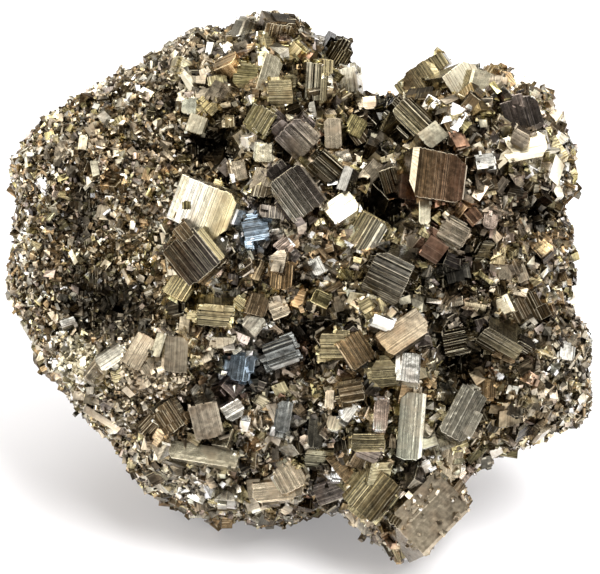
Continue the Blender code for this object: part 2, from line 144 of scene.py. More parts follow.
@dataclass(frozen=True)
class ViewPlane:
    """The plane through the lump's middle that faces the viewpoint.

    Points in the view's axes are (right, up, near), in metres from the lump's middle, where near is
    towards the viewpoint.
    """

    pixel: float = 0.17 * MM
    middle: tuple[float, float] = (300.0, 287.0)
    angle: float = 25.0
    distance: float = 0.60
    height: float = 42.4 * MM
    forward: float = 10.0 * MM

    def axes(self) -> np.ndarray:
        """The view's axes in the row frame, as columns: right, up and near."""
        lean = math.radians(self.angle)
        right = (1.0, 0.0, 0.0)
        up = (0.0, math.sin(lean), math.cos(lean))
        near = (0.0, -math.cos(lean), math.sin(lean))
        return np.array((right, up, near)).T

    def to_world(self, points: np.ndarray) -> np.ndarray:
        """Points in the view's axes, right, up and near, as x, y and z in the row frame."""
        return points @ self.axes().T + np.array((0.0, -self.forward, self.height))

    def on_plane(self, px: np.ndarray | float, py: np.ndarray | float) -> tuple:
        """The right and up, in metres, of pixels from the left and the top on the plane itself."""
        return (px - self.middle[0]) * self.pixel, (self.middle[1] - py) * self.pixel

    def seen_at(self, px: float, py: float, near: float) -> np.ndarray:
        """The point this near to the viewpoint that is seen at a pixel.

        Args:
            px: Pixels from the left.
            py: Pixels from the top.
            near: How far the point lies in front of the plane.

        Returns:
            The point in the view's axes.
        """
        right, up = self.on_plane(px, py)
        scale = 1.0 - near / self.distance
        return np.array((right * scale, up * scale, near))

    def pixel_of(self, points: np.ndarray) -> tuple[np.ndarray, np.ndarray]:
        """The pixels from the left and the top that points in the view's axes are seen at."""
        scale = 1.0 / (1.0 - points[..., 2] / self.distance) / self.pixel
        return self.middle[0] + points[..., 0] * scale, self.middle[1] - points[..., 1] * scale

    def ground_reach(self, ways: np.ndarray) -> np.ndarray:
        """How far the plane that the lump rests on is in each direction, infinite where it's never met."""
        fall = -(ways @ self.axes()[2])
        return np.where(fall > 1e-6, self.height / np.maximum(fall, 1e-6), np.inf)


class Swell(NamedTuple):
    """A hollow or a swelling of the front: its place in pixels, its radius and its height."""

    px: float
    py: float
    radius: float
    height: float


class Relief(NamedTuple):
    """Folded waves that roughen the lump: how many, their lengths and their height."""

    seed: int
    count: int
    shortest: float
    longest: float
    height: float


# The edge of the lump as seen, clockwise from the top, in pixels
OUTLINE = (
    (262, 16), (285, 18), (302, 24), (316, 48), (326, 62), (350, 78), (354, 94), (378, 97), (402, 98),
    (425, 88), (450, 78), (472, 72), (497, 68), (516, 70), (528, 86), (546, 93), (556, 112), (568, 138),
    (574, 156), (575, 192), (562, 199), (563, 210), (570, 226), (571, 262), (569, 300), (571, 318),
    (590, 334), (592, 378), (594, 402), (582, 421), (550, 432), (522, 447), (488, 454), (464, 466),
    (455, 480), (466, 500), (438, 526), (411, 557), (397, 552), (372, 530), (348, 512), (318, 504),
    (290, 514), (256, 515), (246, 508), (214, 508), (180, 494), (152, 486), (138, 474), (126, 446),
    (104, 430), (86, 412), (62, 380), (46, 368), (43, 352), (30, 326), (15, 298), (12, 276), (16, 240),
    (20, 206), (16, 180), (16, 164), (36, 130), (52, 113), (98, 88), (142, 70), (172, 45), (192, 36),
    (230, 30), (250, 20),
)

SWELLS = (
    Swell(60, 230, 14, -4.0),
    Swell(150, 362, 9, 4.5),
    Swell(82, 358, 6, 2.5),
    Swell(95, 300, 6, -3.5),
    Swell(85, 200, 3, -2.0),
    Swell(210, 148, 5, -5.0),
    Swell(165, 104, 2, -1.5),
    Swell(285, 45, 7, 1.5),
    Swell(378, 115, 7, -4.5),
    Swell(372, 212, 4, -4.5),
    Swell(355, 150, 4, -2.5),
    Swell(300, 340, 5, -4.5),
    Swell(455, 350, 6, -6.0),
    Swell(450, 272, 5, -3.5),
    Swell(540, 208, 4, -4.0),
    Swell(500, 130, 10, 2.5),
    Swell(540, 385, 11, 3.0),
    Swell(420, 505, 9, 7.0),
    Swell(330, 500, 5, -2.0),
    Swell(215, 372, 5, -3.0),
    Swell(200, 470, 8, 1.5),
    Swell(240, 250, 16, 2.0),
    Swell(390, 420, 10, 2.0),
)

# Hollows of the front where the crystals grow thin, with painted shade, and where the small crystals also lie
# deeper: place in pixels, radius in mm, and how much of the colour the shade takes at the middle
SHADED_HOLLOWS = (
    Swell(214, 148, 4.6, 0.95),
    Swell(170, 104, 1.8, 0.7),
    Swell(78, 214, 4.2, 0.75),
    Swell(95, 298, 6.5, 0.8),
    Swell(130, 312, 5.0, 0.7),
    Swell(386, 108, 3.8, 0.9),
    Swell(372, 140, 4.0, 0.9),
    Swell(388, 212, 4.0, 0.9),
    Swell(374, 204, 3.2, 0.9),
    Swell(450, 270, 4.6, 0.75),
    Swell(455, 348, 5.0, 0.85),
    Swell(312, 328, 3.6, 0.85),
    Swell(342, 318, 2.6, 0.85),
    Swell(310, 366, 2.6, 0.8),
    Swell(534, 212, 3.4, 0.85),
    Swell(252, 380, 2.6, 0.6),
    Swell(300, 282, 2.6, 0.6),
    Swell(330, 500, 3.0, 0.6),
    Swell(410, 300, 2.4, 0.8),
    Swell(505, 180, 2.4, 0.6),
)


class Tint(NamedTuple):
    """A soft patch whose small crystals share a hue: its place in pixels and its radius in mm.

    share is how far their colours turn to its tone, a hue of their own. The last number is how much
    lighter they are in its middle: painted light above 1 and painted shade below it.
    """

    px: float
    py: float
    radius: float
    tone: Tone
    share: float
    gain: float = 1.0


# A tint's last number paints light or shade on its small crystals, while the hue it gives them is their own
# colour
# The last thirty lie where a blurred render differed most from the view, as another script found them
TINTS = (
    Tint(255, 230, 4.6, Tone.BLUE, 0.7),
    Tint(270, 352, 6.0, Tone.ICE, 0.6, 1.25),
    Tint(240, 372, 4.0, Tone.BLUE, 0.6),
    Tint(316, 430, 4.5, Tone.BLUE, 0.35),
    Tint(190, 482, 12.0, Tone.STEEL, 0.6, 1.1),
    Tint(190, 300, 5.0, Tone.GOLD, 0.6),
    Tint(580, 350, 6.0, Tone.STEEL, 0.5, 1.2),
    Tint(540, 385, 10.0, Tone.TAN, 0.5, 1.1),
    Tint(130, 365, 11.0, Tone.TAN, 0.5, 1.15),
    Tint(180, 60, 9.0, Tone.STEEL, 0.4),
    Tint(490, 215, 7.0, Tone.ROSE, 0.4),
    Tint(300, 228, 6.0, Tone.VIOLET, 0.4),
    Tint(402, 440, 6.0, Tone.TEAL, 0.5),
    Tint(360, 300, 4.0, Tone.GOLD, 0.5),
    Tint(410, 520, 10.0, Tone.TAN, 0.4, 1.25),
    Tint(524, 140, 6.0, Tone.CREAM, 0.3, 1.3),
    Tint(85, 200, 17.0, Tone.TAN, 0.1, 1.16),
    Tint(488, 412, 3.7, Tone.DARK, 0.5, 0.29),
    Tint(465, 365, 3.9, Tone.DARK, 0.5, 0.22),
    Tint(506, 422, 2.6, Tone.DARK, 0.3, 0.55),
    Tint(275, 442, 2.8, Tone.VIOLET, 0.4, 0.32),
    Tint(212, 319, 2.6, Tone.DARK, 0.4, 0.29),
    Tint(350, 152, 3.2, Tone.DARK, 0.4, 0.29),
    Tint(226, 122, 3.2, Tone.DARK, 0.4, 0.29),
    Tint(208, 146, 5.0, Tone.DARK, 0.5, 0.23),
    Tint(347, 101, 2.6, Tone.DARK, 0.4, 0.5),
    Tint(227, 449, 3, Tone.OLIVE, 0.3, 0.5),
    Tint(464, 308, 3.2, Tone.VIOLET, 0.4, 0.36),
    Tint(271, 370, 2.6, Tone.DARK, 0.3, 0.5),
    Tint(297, 352, 3.5, Tone.RUST, 0.7, 0.3),
    Tint(338, 523, 2.4, Tone.DARK, 0.3, 0.55),
    Tint(480, 239, 3, Tone.DARK, 0.3, 0.55),
    Tint(522, 201, 3, Tone.OLIVE, 0.3, 0.6),
    Tint(386, 258, 2.6, Tone.DARK, 0.3, 0.55),
    Tint(504, 230, 2.6, Tone.BROWN, 0.3, 0.6),
    Tint(487, 164, 2.4, Tone.BROWN, 0.3, 0.65),
    Tint(196, 438, 2.4, Tone.BROWN, 0.3, 0.6),
    Tint(97, 142, 3, Tone.BROWN, 0.3, 0.7),
    Tint(147, 151, 3, Tone.BROWN, 0.3, 0.65),
    Tint(284, 162, 2.6, Tone.DARK, 0.4, 0.32),
    Tint(394, 196, 3.5, Tone.DARK, 0.4, 0.32),
    Tint(141, 107, 4, Tone.TAN, 0.3, 1.4),
    Tint(134, 252, 4, Tone.STRAW, 0.2, 1.4),
    Tint(103, 265, 3.6, Tone.STRAW, 0.2, 1.4),
    Tint(393, 481, 2.6, Tone.TEAL, 0.5, 1.5),
    Tint(166, 499, 3.6, Tone.STEEL, 0.4, 1.3),
    Tint(284, 111, 2.4, Tone.CREAM, 0.3, 1.4),
)


@dataclass(frozen=True)
class Lump:
    """The whole lump without its crystals, as a reach from its middle in each direction."""

    plane: ViewPlane = field(default_factory=ViewPlane)
    front_depth: float = 24.0 * MM
    back_depth: float = 40.0 * MM
    front_fullness: float = 2.1
    back_fullness: float = 2.7
    foot_way: tuple[float, float, float] = (-0.10, -0.66, -0.74)
    foot_reach: float = 0.13
    foot_spread: float = 0.42
    break_seed: int = 23
    breaks: int = 22
    break_shares: tuple[float, float] = (0.80, 0.97)
    reliefs: tuple[Relief, ...] = (
        Relief(11, 20, 14.0, 36.0, 2.8),
        Relief(17, 26, 6.0, 11.0, 1.7),
    )
    rim_share: float = 0.25
    fine_relief: Relief = Relief(31, 40, 1.6, 4.5, 1.0)

    def outline_reach(self, theta: np.ndarray) -> np.ndarray:
        """How far the outline lies from the middle in each direction round it.

        Args:
            theta: Angles counter-clockwise from the right, in radians.

        Returns:
            The distances, straight between the outline's points.
        """
        right, up = self.plane.on_plane(*np.array(OUTLINE, float).T)
        turn = np.arctan2(up, right)
        order = np.argsort(turn)
        return np.interp(theta, turn[order], np.hypot(right, up)[order], period=2 * math.pi)

    def whole_reach(self, ways: np.ndarray) -> np.ndarray:
        """How far the unbroken lump reaches.

        Its section through the line of sight is a superellipse from the outline to the front or the
        back: reach = ((aside / outline) ^ p + (along / depth) ^ p) ^ (-1 / p).

        Args:
            ways: Unit vectors in the view's axes.

        Returns:
            The distances from the middle.
        """
        right, up, near = np.moveaxis(ways, -1, 0)
        aside = np.hypot(right, up) / self.outline_reach(np.arctan2(up, right))
        front = near > 0.0
        along = np.abs(near) / np.where(front, self.front_depth, self.back_depth)
        power = np.where(front, self.front_fullness, self.back_fullness)
        return (aside**power + along**power) ** (-1.0 / power)

    def foot_share(self, ways: np.ndarray) -> np.ndarray:
        """1 for directions to the middle of the foot, falling to 0 at its edge."""
        foot = np.array(self.foot_way) / np.linalg.norm(self.foot_way)
        return smooth_step((ways @ foot - 1.0 + self.foot_spread) / self.foot_spread)

    def break_reach(self, ways: np.ndarray) -> np.ndarray:
        """How far out the nearest flat break of the back lies.

        Args:
            ways: Unit vectors in the view's axes.

        Returns:
            The distances from the middle.
        """
        rng = np.random.default_rng(self.break_seed)
        nearest = np.full(ways.shape[:-1], np.inf)
        for _ in range(self.breaks):
            facing = rng.normal(size=3)
            facing[2] = -abs(facing[2])
            facing /= np.linalg.norm(facing)
            out = self.whole_reach(facing) * rng.uniform(*self.break_shares)
            slope = ways @ facing
            met = np.minimum(nearest, out / np.maximum(slope, 0.05))
            nearest = np.where(slope > 0.05, met, nearest)
        return nearest

    def waves(self, points: np.ndarray, relief: Relief) -> np.ndarray:
        """The height of a relief: plane waves summed, folded so that they meet in creases.

        Args:
            points: Points in the view's axes.
            relief: The relief's numbers.

        Returns:
            The heights in metres.
        """
        rng = np.random.default_rng(relief.seed)
        total = np.zeros(points.shape[:-1])
        for _ in range(relief.count):
            way = rng.normal(size=3)
            way /= np.linalg.norm(way)
            length = rng.uniform(relief.shortest, relief.longest)
            phase = rng.uniform(0.0, 2.0 * math.pi)
            wave = np.abs(np.sin(points @ way * (math.pi / (length * MM)) + phase))
            total += (0.6 - wave) * math.sqrt(length / relief.longest)
        return total * relief.height * MM / math.sqrt(relief.count)

    def reach(self, ways: np.ndarray) -> np.ndarray:
        """How far the lump reaches, breaks, foot, swells and relief included.

        Args:
            ways: Unit vectors in the view's axes.

        Returns:
            The distances from the middle.
        """
        near = ways[..., 2]
        reach = self.whole_reach(ways)
        broken = np.minimum(reach, self.break_reach(ways))
        foot = self.foot_share(ways)
        reach = reach + (broken - reach) * smooth_step(-near / 0.3) * (1.0 - foot)
        reach = reach * (1.0 + self.foot_reach * foot)
        points = ways * reach[..., None]
        for swell in SWELLS:
            right, up = self.plane.on_plane(swell.px, swell.py)
            apart = np.hypot(points[..., 0] - right, points[..., 1] - up) / (swell.radius * MM)
            reach = reach + swell.height * MM * np.exp(-apart * apart) * smooth_step(near / 0.5)
        share = self.rim_share + (1.0 - self.rim_share) * smooth_step(np.abs(near) / 0.5)
        return reach + share * sum(self.waves(points, relief) for relief in self.reliefs)

    def rough_reach(self, ways: np.ndarray) -> np.ndarray:
        """How far the lump reaches with its fine roughness, and no further than where it rests.

        Args:
            ways: Unit vectors in the view's axes.

        Returns:
            The distances from the middle.
        """
        reach = self.reach(ways)
        reach = reach + self.waves(ways * reach[..., None], self.fine_relief)
        return np.minimum(reach, self.plane.ground_reach(ways))

    def front_grid(self) -> np.ndarray:
        """Points all over the front, fine enough to find a pixel's place by."""
        theta, lift = np.meshgrid(np.linspace(-math.pi, math.pi, 541), np.linspace(0.0, 1.0, 300))
        level = np.sqrt(np.clip(1.0 - lift * lift, 0.0, 1.0))
        ways = np.stack((level * np.cos(theta), level * np.sin(theta), lift), axis=-1)
        return (ways * self.reach(ways)[..., None]).reshape(-1, 3)

    def hollow_shade(self, points: np.ndarray) -> np.ndarray:
        """Painted shade in the front's hollows: how much of its colour each point keeps, 1 all and 0 none.

        Args:
            points: Points in the view's axes.

        Returns:
            The shares of the colour that the painted shade leaves.
        """
        px, py = self.plane.pixel_of(points)
        left = np.ones(points.shape[:-1])
        for hollow in SHADED_HOLLOWS:
            apart = np.hypot(px - hollow.px, py - hollow.py) * self.plane.pixel / (hollow.radius * MM)
            left = left * (1.0 - hollow.height * np.exp(-(apart**4)))
        return np.where(points[..., 2] > 0.0, left, 1.0)

    def tinted(self, points: np.ndarray, tones: np.ndarray) -> np.ndarray:
        """Tones drawn towards the tints of the places that the points lie in, with the tints' painted light
        and shade.

        Args:
            points: Points in the view's axes.
            tones: A colour for each point.

        Returns:
            The colours.
        """
        px, py = self.plane.pixel_of(points)
        for tint in TINTS:
            apart = np.hypot(px - tint.px, py - tint.py) * self.plane.pixel / (tint.radius * MM)
            share = tint.share * np.exp(-apart * apart) * (points[..., 2] > 0.0)
            colour = np.array(tint.tone.value)
            level = lightness(tones) / lightness(colour)
            drawn = colour * level[..., None]
            colours = tones[..., :3] + (drawn - tones[..., :3]) * share[..., None]
            tones = np.concatenate((colours, tones[..., 3:]), axis=-1)
            # Painted light and shade: the tint's last number lightens or darkens the colours in its middle
            tones = shaded(tones, 1.0 + (tint.gain - 1.0) * np.exp(-apart * apart))
        return tones


class Crystal(NamedTuple):
    """A large crystal of the front, given by its largest visible face.

    px and py are the middle of that face in pixels. along and across are its sides with and across its
    striations, and deep is the crystal's third side. grain is the direction of the striations,
    counter-clockwise from the right, and turn and tip are how far the face looks to the right and up,
    in degrees. proud is how far its middle stands in front of the lump.
    """

    name: str
    px: float
    py: float
    along: float
    across: float
    deep: float
    grain: float
    turn: float
    tip: float
    proud: float
    tone: Tone
    sheen: Sheen = Sheen.EVEN


CRYSTALS = (
    Crystal("peak_cube", 281, 36, 4.2, 5.0, 5.4, 85, 18, -28, 2.4, Tone.BROWN, Sheen.DIM),
    Crystal("peak_chip", 248, 32, 3.8, 2.8, 3.6, 70, 25, -8, 1.8, Tone.STEEL, Sheen.GLOWING),
    Crystal("dark_knob", 337, 57, 4.4, 4.2, 6.0, 60, 5, -18, 2.2, Tone.DARK, Sheen.DEEP_SHADE),
    Crystal("knob_foot", 345, 80, 4.4, 4.0, 5.0, 100, -15, 10, 2.6, Tone.STEEL, Sheen.GLOWING),
    Crystal("upright_flute", 317, 82, 6.2, 4.2, 5.0, 88, 22, -4, 3.0, Tone.GOLD),
    Crystal("leaning_flute", 270, 74, 6.4, 3.2, 4.0, 72, 12, 6, 2.2, Tone.CREAM, Sheen.SOFT),
    Crystal("ladder", 280, 94, 4.2, 4.8, 4.5, 2, -6, -14, 2.6, Tone.GOLD),
    Crystal("olive_block", 245, 76, 4.6, 4.0, 4.5, -5, -10, 8, 2.0, Tone.OLIVE),
    Crystal("grey_flute", 260, 119, 4.2, 4.6, 5.0, 58, -22, 4, 2.4, Tone.OLIVE, Sheen.DIM),
    Crystal("left_square", 190, 106, 2.8, 2.8, 3.0, 85, -6, 8, 1.6, Tone.CREAM, Sheen.GLOWING),
    Crystal("left_diamond", 197, 124, 3.3, 3.2, 3.4, 70, 4, 10, 2.0, Tone.CREAM),
    Crystal("violet_diamond", 298, 138, 5.6, 5.8, 5.6, -45, 2, -14, 3.2, Tone.VIOLET, Sheen.GLOWING),
    Crystal("pale_post", 333, 133, 5.2, 3.0, 4.0, 92, 8, 8, 3.4, Tone.TAN, Sheen.GLOWING),
    Crystal("dark_diamond", 327, 166, 4.8, 4.4, 5.0, -42, 14, 10, 2.6, Tone.DARK, Sheen.DEEP_SHADE),
    Crystal("white_barrel", 264, 152, 3.6, 3.6, 4.0, 86, -6, 12, 2.2, Tone.CREAM),
    Crystal("beige_plate", 264, 182, 4.4, 4.2, 3.6, 70, -8, 12, 2.2, Tone.TAN, Sheen.GLOWING),
    Crystal("beige_wing", 240, 170, 3.4, 3.0, 3.0, 100, 10, 12, 2.0, Tone.TAN, Sheen.GLOWING),
    Crystal("cream_cube", 202, 207, 7.8, 10.4, 8.4, 68, -18, 0, 4.0, Tone.WHITE),
    Crystal("brown_flute", 191, 257, 7.4, 6.8, 7.4, -52, -14, -8, 5.0, Tone.BROWN, Sheen.DIM),
    Crystal("centre_flute", 297, 193, 7.8, 6.8, 7.5, -53, 4, -6, 4.2, Tone.VIOLET),
    Crystal("bright_steps", 341, 206, 5.4, 4.4, 5.0, 36, -4, 20, 4.0, Tone.CREAM),
    Crystal("white_edge", 344, 178, 4.2, 2.0, 3.0, 75, -24, 14, 3.4, Tone.WHITE, Sheen.DEEP_SHADE),
    Crystal("blue_chip", 256, 229, 4.2, 4.0, 4.0, 10, 6, 16, 2.0, Tone.BLUE, Sheen.SOFT),
    Crystal("rose_diamond", 284, 246, 2.7, 2.7, 3.0, 40, 4, 12, 2.6, Tone.ROSE, Sheen.BRIGHT),
    Crystal("small_white", 317, 266, 2.9, 2.2, 3.0, -65, 8, 16, 2.6, Tone.WHITE, Sheen.DIM),
    Crystal("tan_knob", 178, 287, 3.8, 3.8, 4.0, 60, -8, 14, 3.0, Tone.GOLD, Sheen.BRIGHT),
    Crystal("plain_brown", 281, 276, 4.4, 3.8, 4.0, 86, -10, 4, 2.6, Tone.BROWN, Sheen.GLOWING),
    Crystal("bar_block", 214, 316, 5.4, 3.8, 5.0, -6, 2, -26, 3.4, Tone.GOLD),
    Crystal("pale_chunk", 279, 309, 3.2, 3.0, 3.0, 20, 10, 14, 2.2, Tone.TAN, Sheen.GLOWING),
    Crystal("pale_lump", 254, 322, 3.6, 3.4, 3.4, 50, 12, 16, 2.6, Tone.STEEL, Sheen.DIM),
    Crystal("gold_chip", 241, 303, 2.6, 2.4, 2.6, -40, 4, 8, 2.4, Tone.GOLD, Sheen.BRIGHT),
    Crystal("fan_flute", 364, 232, 5.8, 6.2, 6.0, 60, -10, 8, 4.0, Tone.GOLD, Sheen.BRIGHT),
    Crystal("lower_flute", 388, 278, 6.8, 7.8, 7.4, -27, -8, -16, 4.4, Tone.DARK, Sheen.DEEP_SHADE),
    Crystal("pale_slab", 403, 332, 8.6, 4.6, 6.0, 34, 8, 16, 4.2, Tone.TAN),
    Crystal("white_facet", 383, 322, 3.8, 2.6, 3.0, -22, 2, 20, 3.8, Tone.WHITE, Sheen.SOFT),
    Crystal("white_steps", 409, 367, 5.0, 3.8, 4.0, 84, 6, 16, 4.0, Tone.WHITE, Sheen.SOFT),
    Crystal("gold_block", 333, 347, 4.2, 4.6, 5.0, 0, -8, -12, 3.2, Tone.GOLD),
    Crystal("tan_hump", 356, 350, 5.4, 4.6, 5.0, -58, 4, 8, 3.8, Tone.BROWN, Sheen.BRIGHT),
    Crystal("gold_steps", 385, 373, 4.4, 4.4, 5.0, 4, -4, -10, 3.2, Tone.GOLD, Sheen.DIM),
    Crystal("tan_hexagon", 453, 233, 4.8, 4.0, 4.4, -30, -4, -10, 3.4, Tone.TAN, Sheen.BRIGHT),
    Crystal("rust_chip", 474, 215, 2.6, 2.4, 2.6, -50, 6, 4, 2.8, Tone.RUST),
    Crystal("deep_blue", 458, 342, 5.0, 4.4, 5.0, 12, 2, 6, 2.2, Tone.DARK, Sheen.DEEP_SHADE),
    Crystal("slant_ledge", 500, 344, 7.6, 3.4, 6.0, -36, -6, -34, 3.6, Tone.DARK, Sheen.DEEP_SHADE),
    Crystal("right_square", 505, 272, 2.7, 2.5, 2.8, 88, 4, 10, 1.6, Tone.TAN, Sheen.BRIGHT),
    Crystal("right_square_b", 521, 272, 3.2, 2.1, 2.8, -70, 8, 12, 1.6, Tone.TAN, Sheen.BRIGHT),
    Crystal("dark_blades", 525, 310, 4.8, 6.0, 5.0, -62, 8, -4, 1.8, Tone.BROWN, Sheen.DIM),
    Crystal("gold_dot", 366, 305, 2.2, 2.2, 2.4, 30, -4, 8, 2.6, Tone.GOLD),
    Crystal("pale_pillar", 425, 212, 4.2, 1.9, 3.0, 88, 4, 14, 3.4, Tone.CREAM, Sheen.SOFT),
    Crystal("rose_square", 490, 221, 2.5, 2.3, 2.6, 80, 6, 12, 2.2, Tone.ROSE),
    Crystal("corner_cube", 424, 85, 7.0, 6.6, 7.4, -56, -12, 0, 6.2, Tone.GOLD),
    Crystal("corner_side", 466, 83, 6.6, 6.6, 6.4, -56, 28, 2, 2.6, Tone.CREAM, Sheen.SOFT),
    Crystal("dark_flute", 414, 117, 7.0, 5.4, 6.0, -48, 24, 20, 5.0, Tone.DARK, Sheen.DEEP_SHADE),
    Crystal("pale_corner", 433, 135, 4.6, 3.4, 4.0, 35, 20, 24, 3.6, Tone.CREAM, Sheen.DEEP_SHADE),
    Crystal("rust_cube", 439, 176, 8.0, 9.2, 8.6, 82, 12, 4, 5.6, Tone.RUST, Sheen.SOFT),
    Crystal("cream_flute", 481, 83, 4.6, 3.8, 4.6, 74, 12, 10, 2.8, Tone.CREAM, Sheen.SOFT),
    Crystal("grey_plate", 496, 84, 3.2, 2.8, 3.0, 84, -8, 14, 2.2, Tone.TAN),
    Crystal("white_crown", 517, 80, 3.6, 3.6, 4.0, -46, 10, 18, 2.4, Tone.WHITE),
    Crystal("violet_block", 522, 114, 5.4, 6.2, 6.0, -72, 2, -8, 3.6, Tone.VIOLET, Sheen.GLOWING),
    Crystal("white_shell", 524, 146, 7.6, 4.4, 5.0, 12, 0, 22, 2.8, Tone.CREAM, Sheen.SOFT),
    Crystal("shell_cap", 520, 139, 3.2, 2.6, 3.0, -30, -10, -14, 4.2, Tone.TAN),
    Crystal("white_wedge", 485, 160, 3.2, 2.4, 3.0, 8, 4, 20, 2.6, Tone.WHITE, Sheen.DEEP_SHADE),
    Crystal("notch_beige", 371, 172, 4.0, 3.0, 3.6, 52, -8, 12, 2.6, Tone.TAN),
    Crystal("notch_dark", 390, 180, 4.2, 3.0, 4.0, -72, 6, -8, 2.4, Tone.DARK),
    Crystal("notch_olive", 357, 126, 3.4, 3.0, 3.4, 60, 12, 8, 2.2, Tone.OLIVE, Sheen.GLOWING),
    Crystal("notch_chip", 373, 140, 2.6, 1.2, 2.0, 80, -4, 16, 2.0, Tone.CREAM, Sheen.DEEP_SHADE),
    Crystal("notch_ledge", 366, 103, 3.8, 2.4, 3.4, 5, -6, 20, 1.6, Tone.TAN, Sheen.GLOWING),
    Crystal("shelf", 152, 362, 9.0, 10.6, 9.0, 96, -10, 20, 1.8, Tone.TAN),
    Crystal("shelf_wing", 84, 360, 6.0, 8.0, 6.0, 70, -16, 22, 1.6, Tone.CREAM, Sheen.SOFT),
    Crystal("brown_step", 172, 415, 4.8, 4.2, 5.0, -56, -10, 4, 2.6, Tone.BROWN, Sheen.DIM),
    Crystal("tan_step", 152, 426, 4.4, 4.4, 5.0, 46, -12, -6, 2.2, Tone.BROWN, Sheen.DIM),
    Crystal("pale_leaf", 206, 421, 6.2, 4.8, 6.0, 100, -8, -18, 3.6, Tone.TAN, Sheen.DIM),
    Crystal("white_chip", 233, 409, 3.8, 3.4, 4.0, 30, 6, 14, 2.8, Tone.WHITE, Sheen.SOFT),
    Crystal("long_bars", 204, 454, 11.5, 3.0, 5.0, -9, -4, 12, 2.8, Tone.CREAM, Sheen.SOFT),
    Crystal("foot_fan", 290, 476, 4.8, 5.2, 5.0, -62, 4, 10, 3.4, Tone.TAN, Sheen.GLOWING),
    Crystal("foot_plate", 274, 490, 7.2, 3.8, 5.0, 6, -4, 8, 4.0, Tone.TAN, Sheen.GLOWING),
    Crystal("ice_cube", 280, 353, 5.4, 4.6, 5.0, 20, 4, 14, 2.8, Tone.ICE, Sheen.DEEP_SHADE),
    Crystal("steel_plate", 240, 368, 4.4, 3.6, 4.0, 82, -4, 6, 2.6, Tone.BLUE),
    Crystal("steel_post", 316, 432, 5.6, 2.6, 4.0, 84, 10, 6, 2.4, Tone.STEEL, Sheen.DIM),
    Crystal("ice_post", 283, 416, 5.6, 2.7, 4.0, 82, -6, 12, 2.8, Tone.ICE, Sheen.SOFT),
    Crystal("amber_chip", 258, 443, 2.2, 2.2, 2.6, 30, 8, 6, 2.0, Tone.AMBER, Sheen.GLOWING),
    Crystal("tip_block", 428, 512, 11.6, 9.4, 10.0, 43, 12, 10, 4.8, Tone.TAN),
    Crystal("tip_flute", 371, 493, 8.0, 7.2, 8.0, 51, -12, -4, 3.6, Tone.GOLD, Sheen.SOFT),
    Crystal("teal_slab", 411, 426, 11.4, 4.2, 6.0, 86, -6, 6, 4.6, Tone.TEAL, Sheen.GLOWING),
    Crystal("grey_blade", 463, 414, 9.0, 4.8, 6.0, 61, 6, 10, 5.2, Tone.STEEL, Sheen.BRIGHT),
    Crystal("white_square", 339, 470, 2.9, 2.6, 3.0, 88, 2, 18, 3.0, Tone.WHITE, Sheen.GLOWING),
    Crystal("grey_foot", 330, 491, 5.2, 3.8, 4.4, 20, -4, -6, 3.6, Tone.VIOLET),
    Crystal("white_bit", 349, 412, 3.4, 1.8, 2.6, 52, 6, 18, 3.4, Tone.WHITE, Sheen.DIM),
    Crystal("tan_bead", 334, 423, 2.5, 2.5, 2.8, 75, -8, 8, 3.0, Tone.TAN, Sheen.GLOWING),
    Crystal("gold_bars", 368, 443, 5.6, 3.0, 4.4, 0, 4, -8, 3.6, Tone.GOLD, Sheen.SOFT),
    Crystal("rose_pillar", 381, 415, 5.2, 2.4, 3.4, 86, 4, 12, 3.6, Tone.ROSE, Sheen.GLOWING),
    Crystal("pale_oval", 330, 399, 3.2, 1.6, 2.6, 86, 4, 14, 3.2, Tone.TAN, Sheen.GLOWING),
    Crystal("brown_face", 351, 391, 4.2, 3.6, 4.0, 10, -6, 4, 3.2, Tone.BROWN, Sheen.SOFT),
    Crystal("pale_heel", 450, 461, 6.4, 4.2, 5.0, 80, 10, 12, 3.0, Tone.TAN, Sheen.GLOWING),
    Crystal("white_bead", 427, 466, 1.8, 1.8, 2.4, 30, 4, 16, 3.4, Tone.WHITE),
    Crystal("lobe_white", 567, 352, 2.8, 2.5, 3.0, 80, 4, 20, 1.8, Tone.WHITE, Sheen.DIM),
    Crystal("lobe_beige", 515, 408, 2.8, 2.8, 3.0, 88, 2, 12, 1.6, Tone.TAN, Sheen.DEEP_SHADE),
    Crystal("lobe_brown", 488, 390, 2.8, 2.8, 3.0, 88, 4, 4, 1.8, Tone.BROWN, Sheen.GLOWING),
    Crystal("left_cream", 83, 142, 2.8, 1.5, 2.2, 82, 6, 16, 1.0, Tone.CREAM, Sheen.SOFT),
    Crystal("left_blade", 95, 168, 3.0, 1.3, 2.2, 100, 6, 16, 1.0, Tone.CREAM, Sheen.DIM),
    Crystal("left_beige", 103, 211, 2.5, 2.2, 2.6, 84, -6, 14, 1.2, Tone.TAN, Sheen.BRIGHT),
    Crystal("shelf_column", 175, 354, 6.2, 4.2, 4.0, 86, 6, 10, 2.5, Tone.TAN, Sheen.BRIGHT),
    Crystal("shelf_fan", 138, 351, 5.8, 3.6, 3.6, 62, -12, 14, 2.9, Tone.TAN, Sheen.BRIGHT),
    Crystal("shelf_plate", 111, 356, 5.2, 3.2, 3.6, 34, 8, 18, 2.8, Tone.STEEL, Sheen.BRIGHT),
    Crystal("shelf_edge", 74, 354, 4.4, 3.2, 3.4, 42, -14, 16, 2.3, Tone.CREAM, Sheen.SOFT),
    Crystal("shelf_leaf", 152, 372, 4.8, 3.0, 3.6, -58, 10, 10, 2.8, Tone.TAN, Sheen.BRIGHT),
    Crystal("shelf_blade", 124, 373, 4.6, 2.4, 3.4, 14, -4, 16, 2.7, Tone.STRAW, Sheen.SOFT),
    Crystal("shelf_tile", 95, 372, 3.8, 2.8, 3.4, 52, 6, 12, 2.5, Tone.TAN),
    Crystal("shelf_rib", 158, 344, 4.2, 1.7, 3.2, 74, -16, 10, 2.8, Tone.CREAM, Sheen.SOFT),
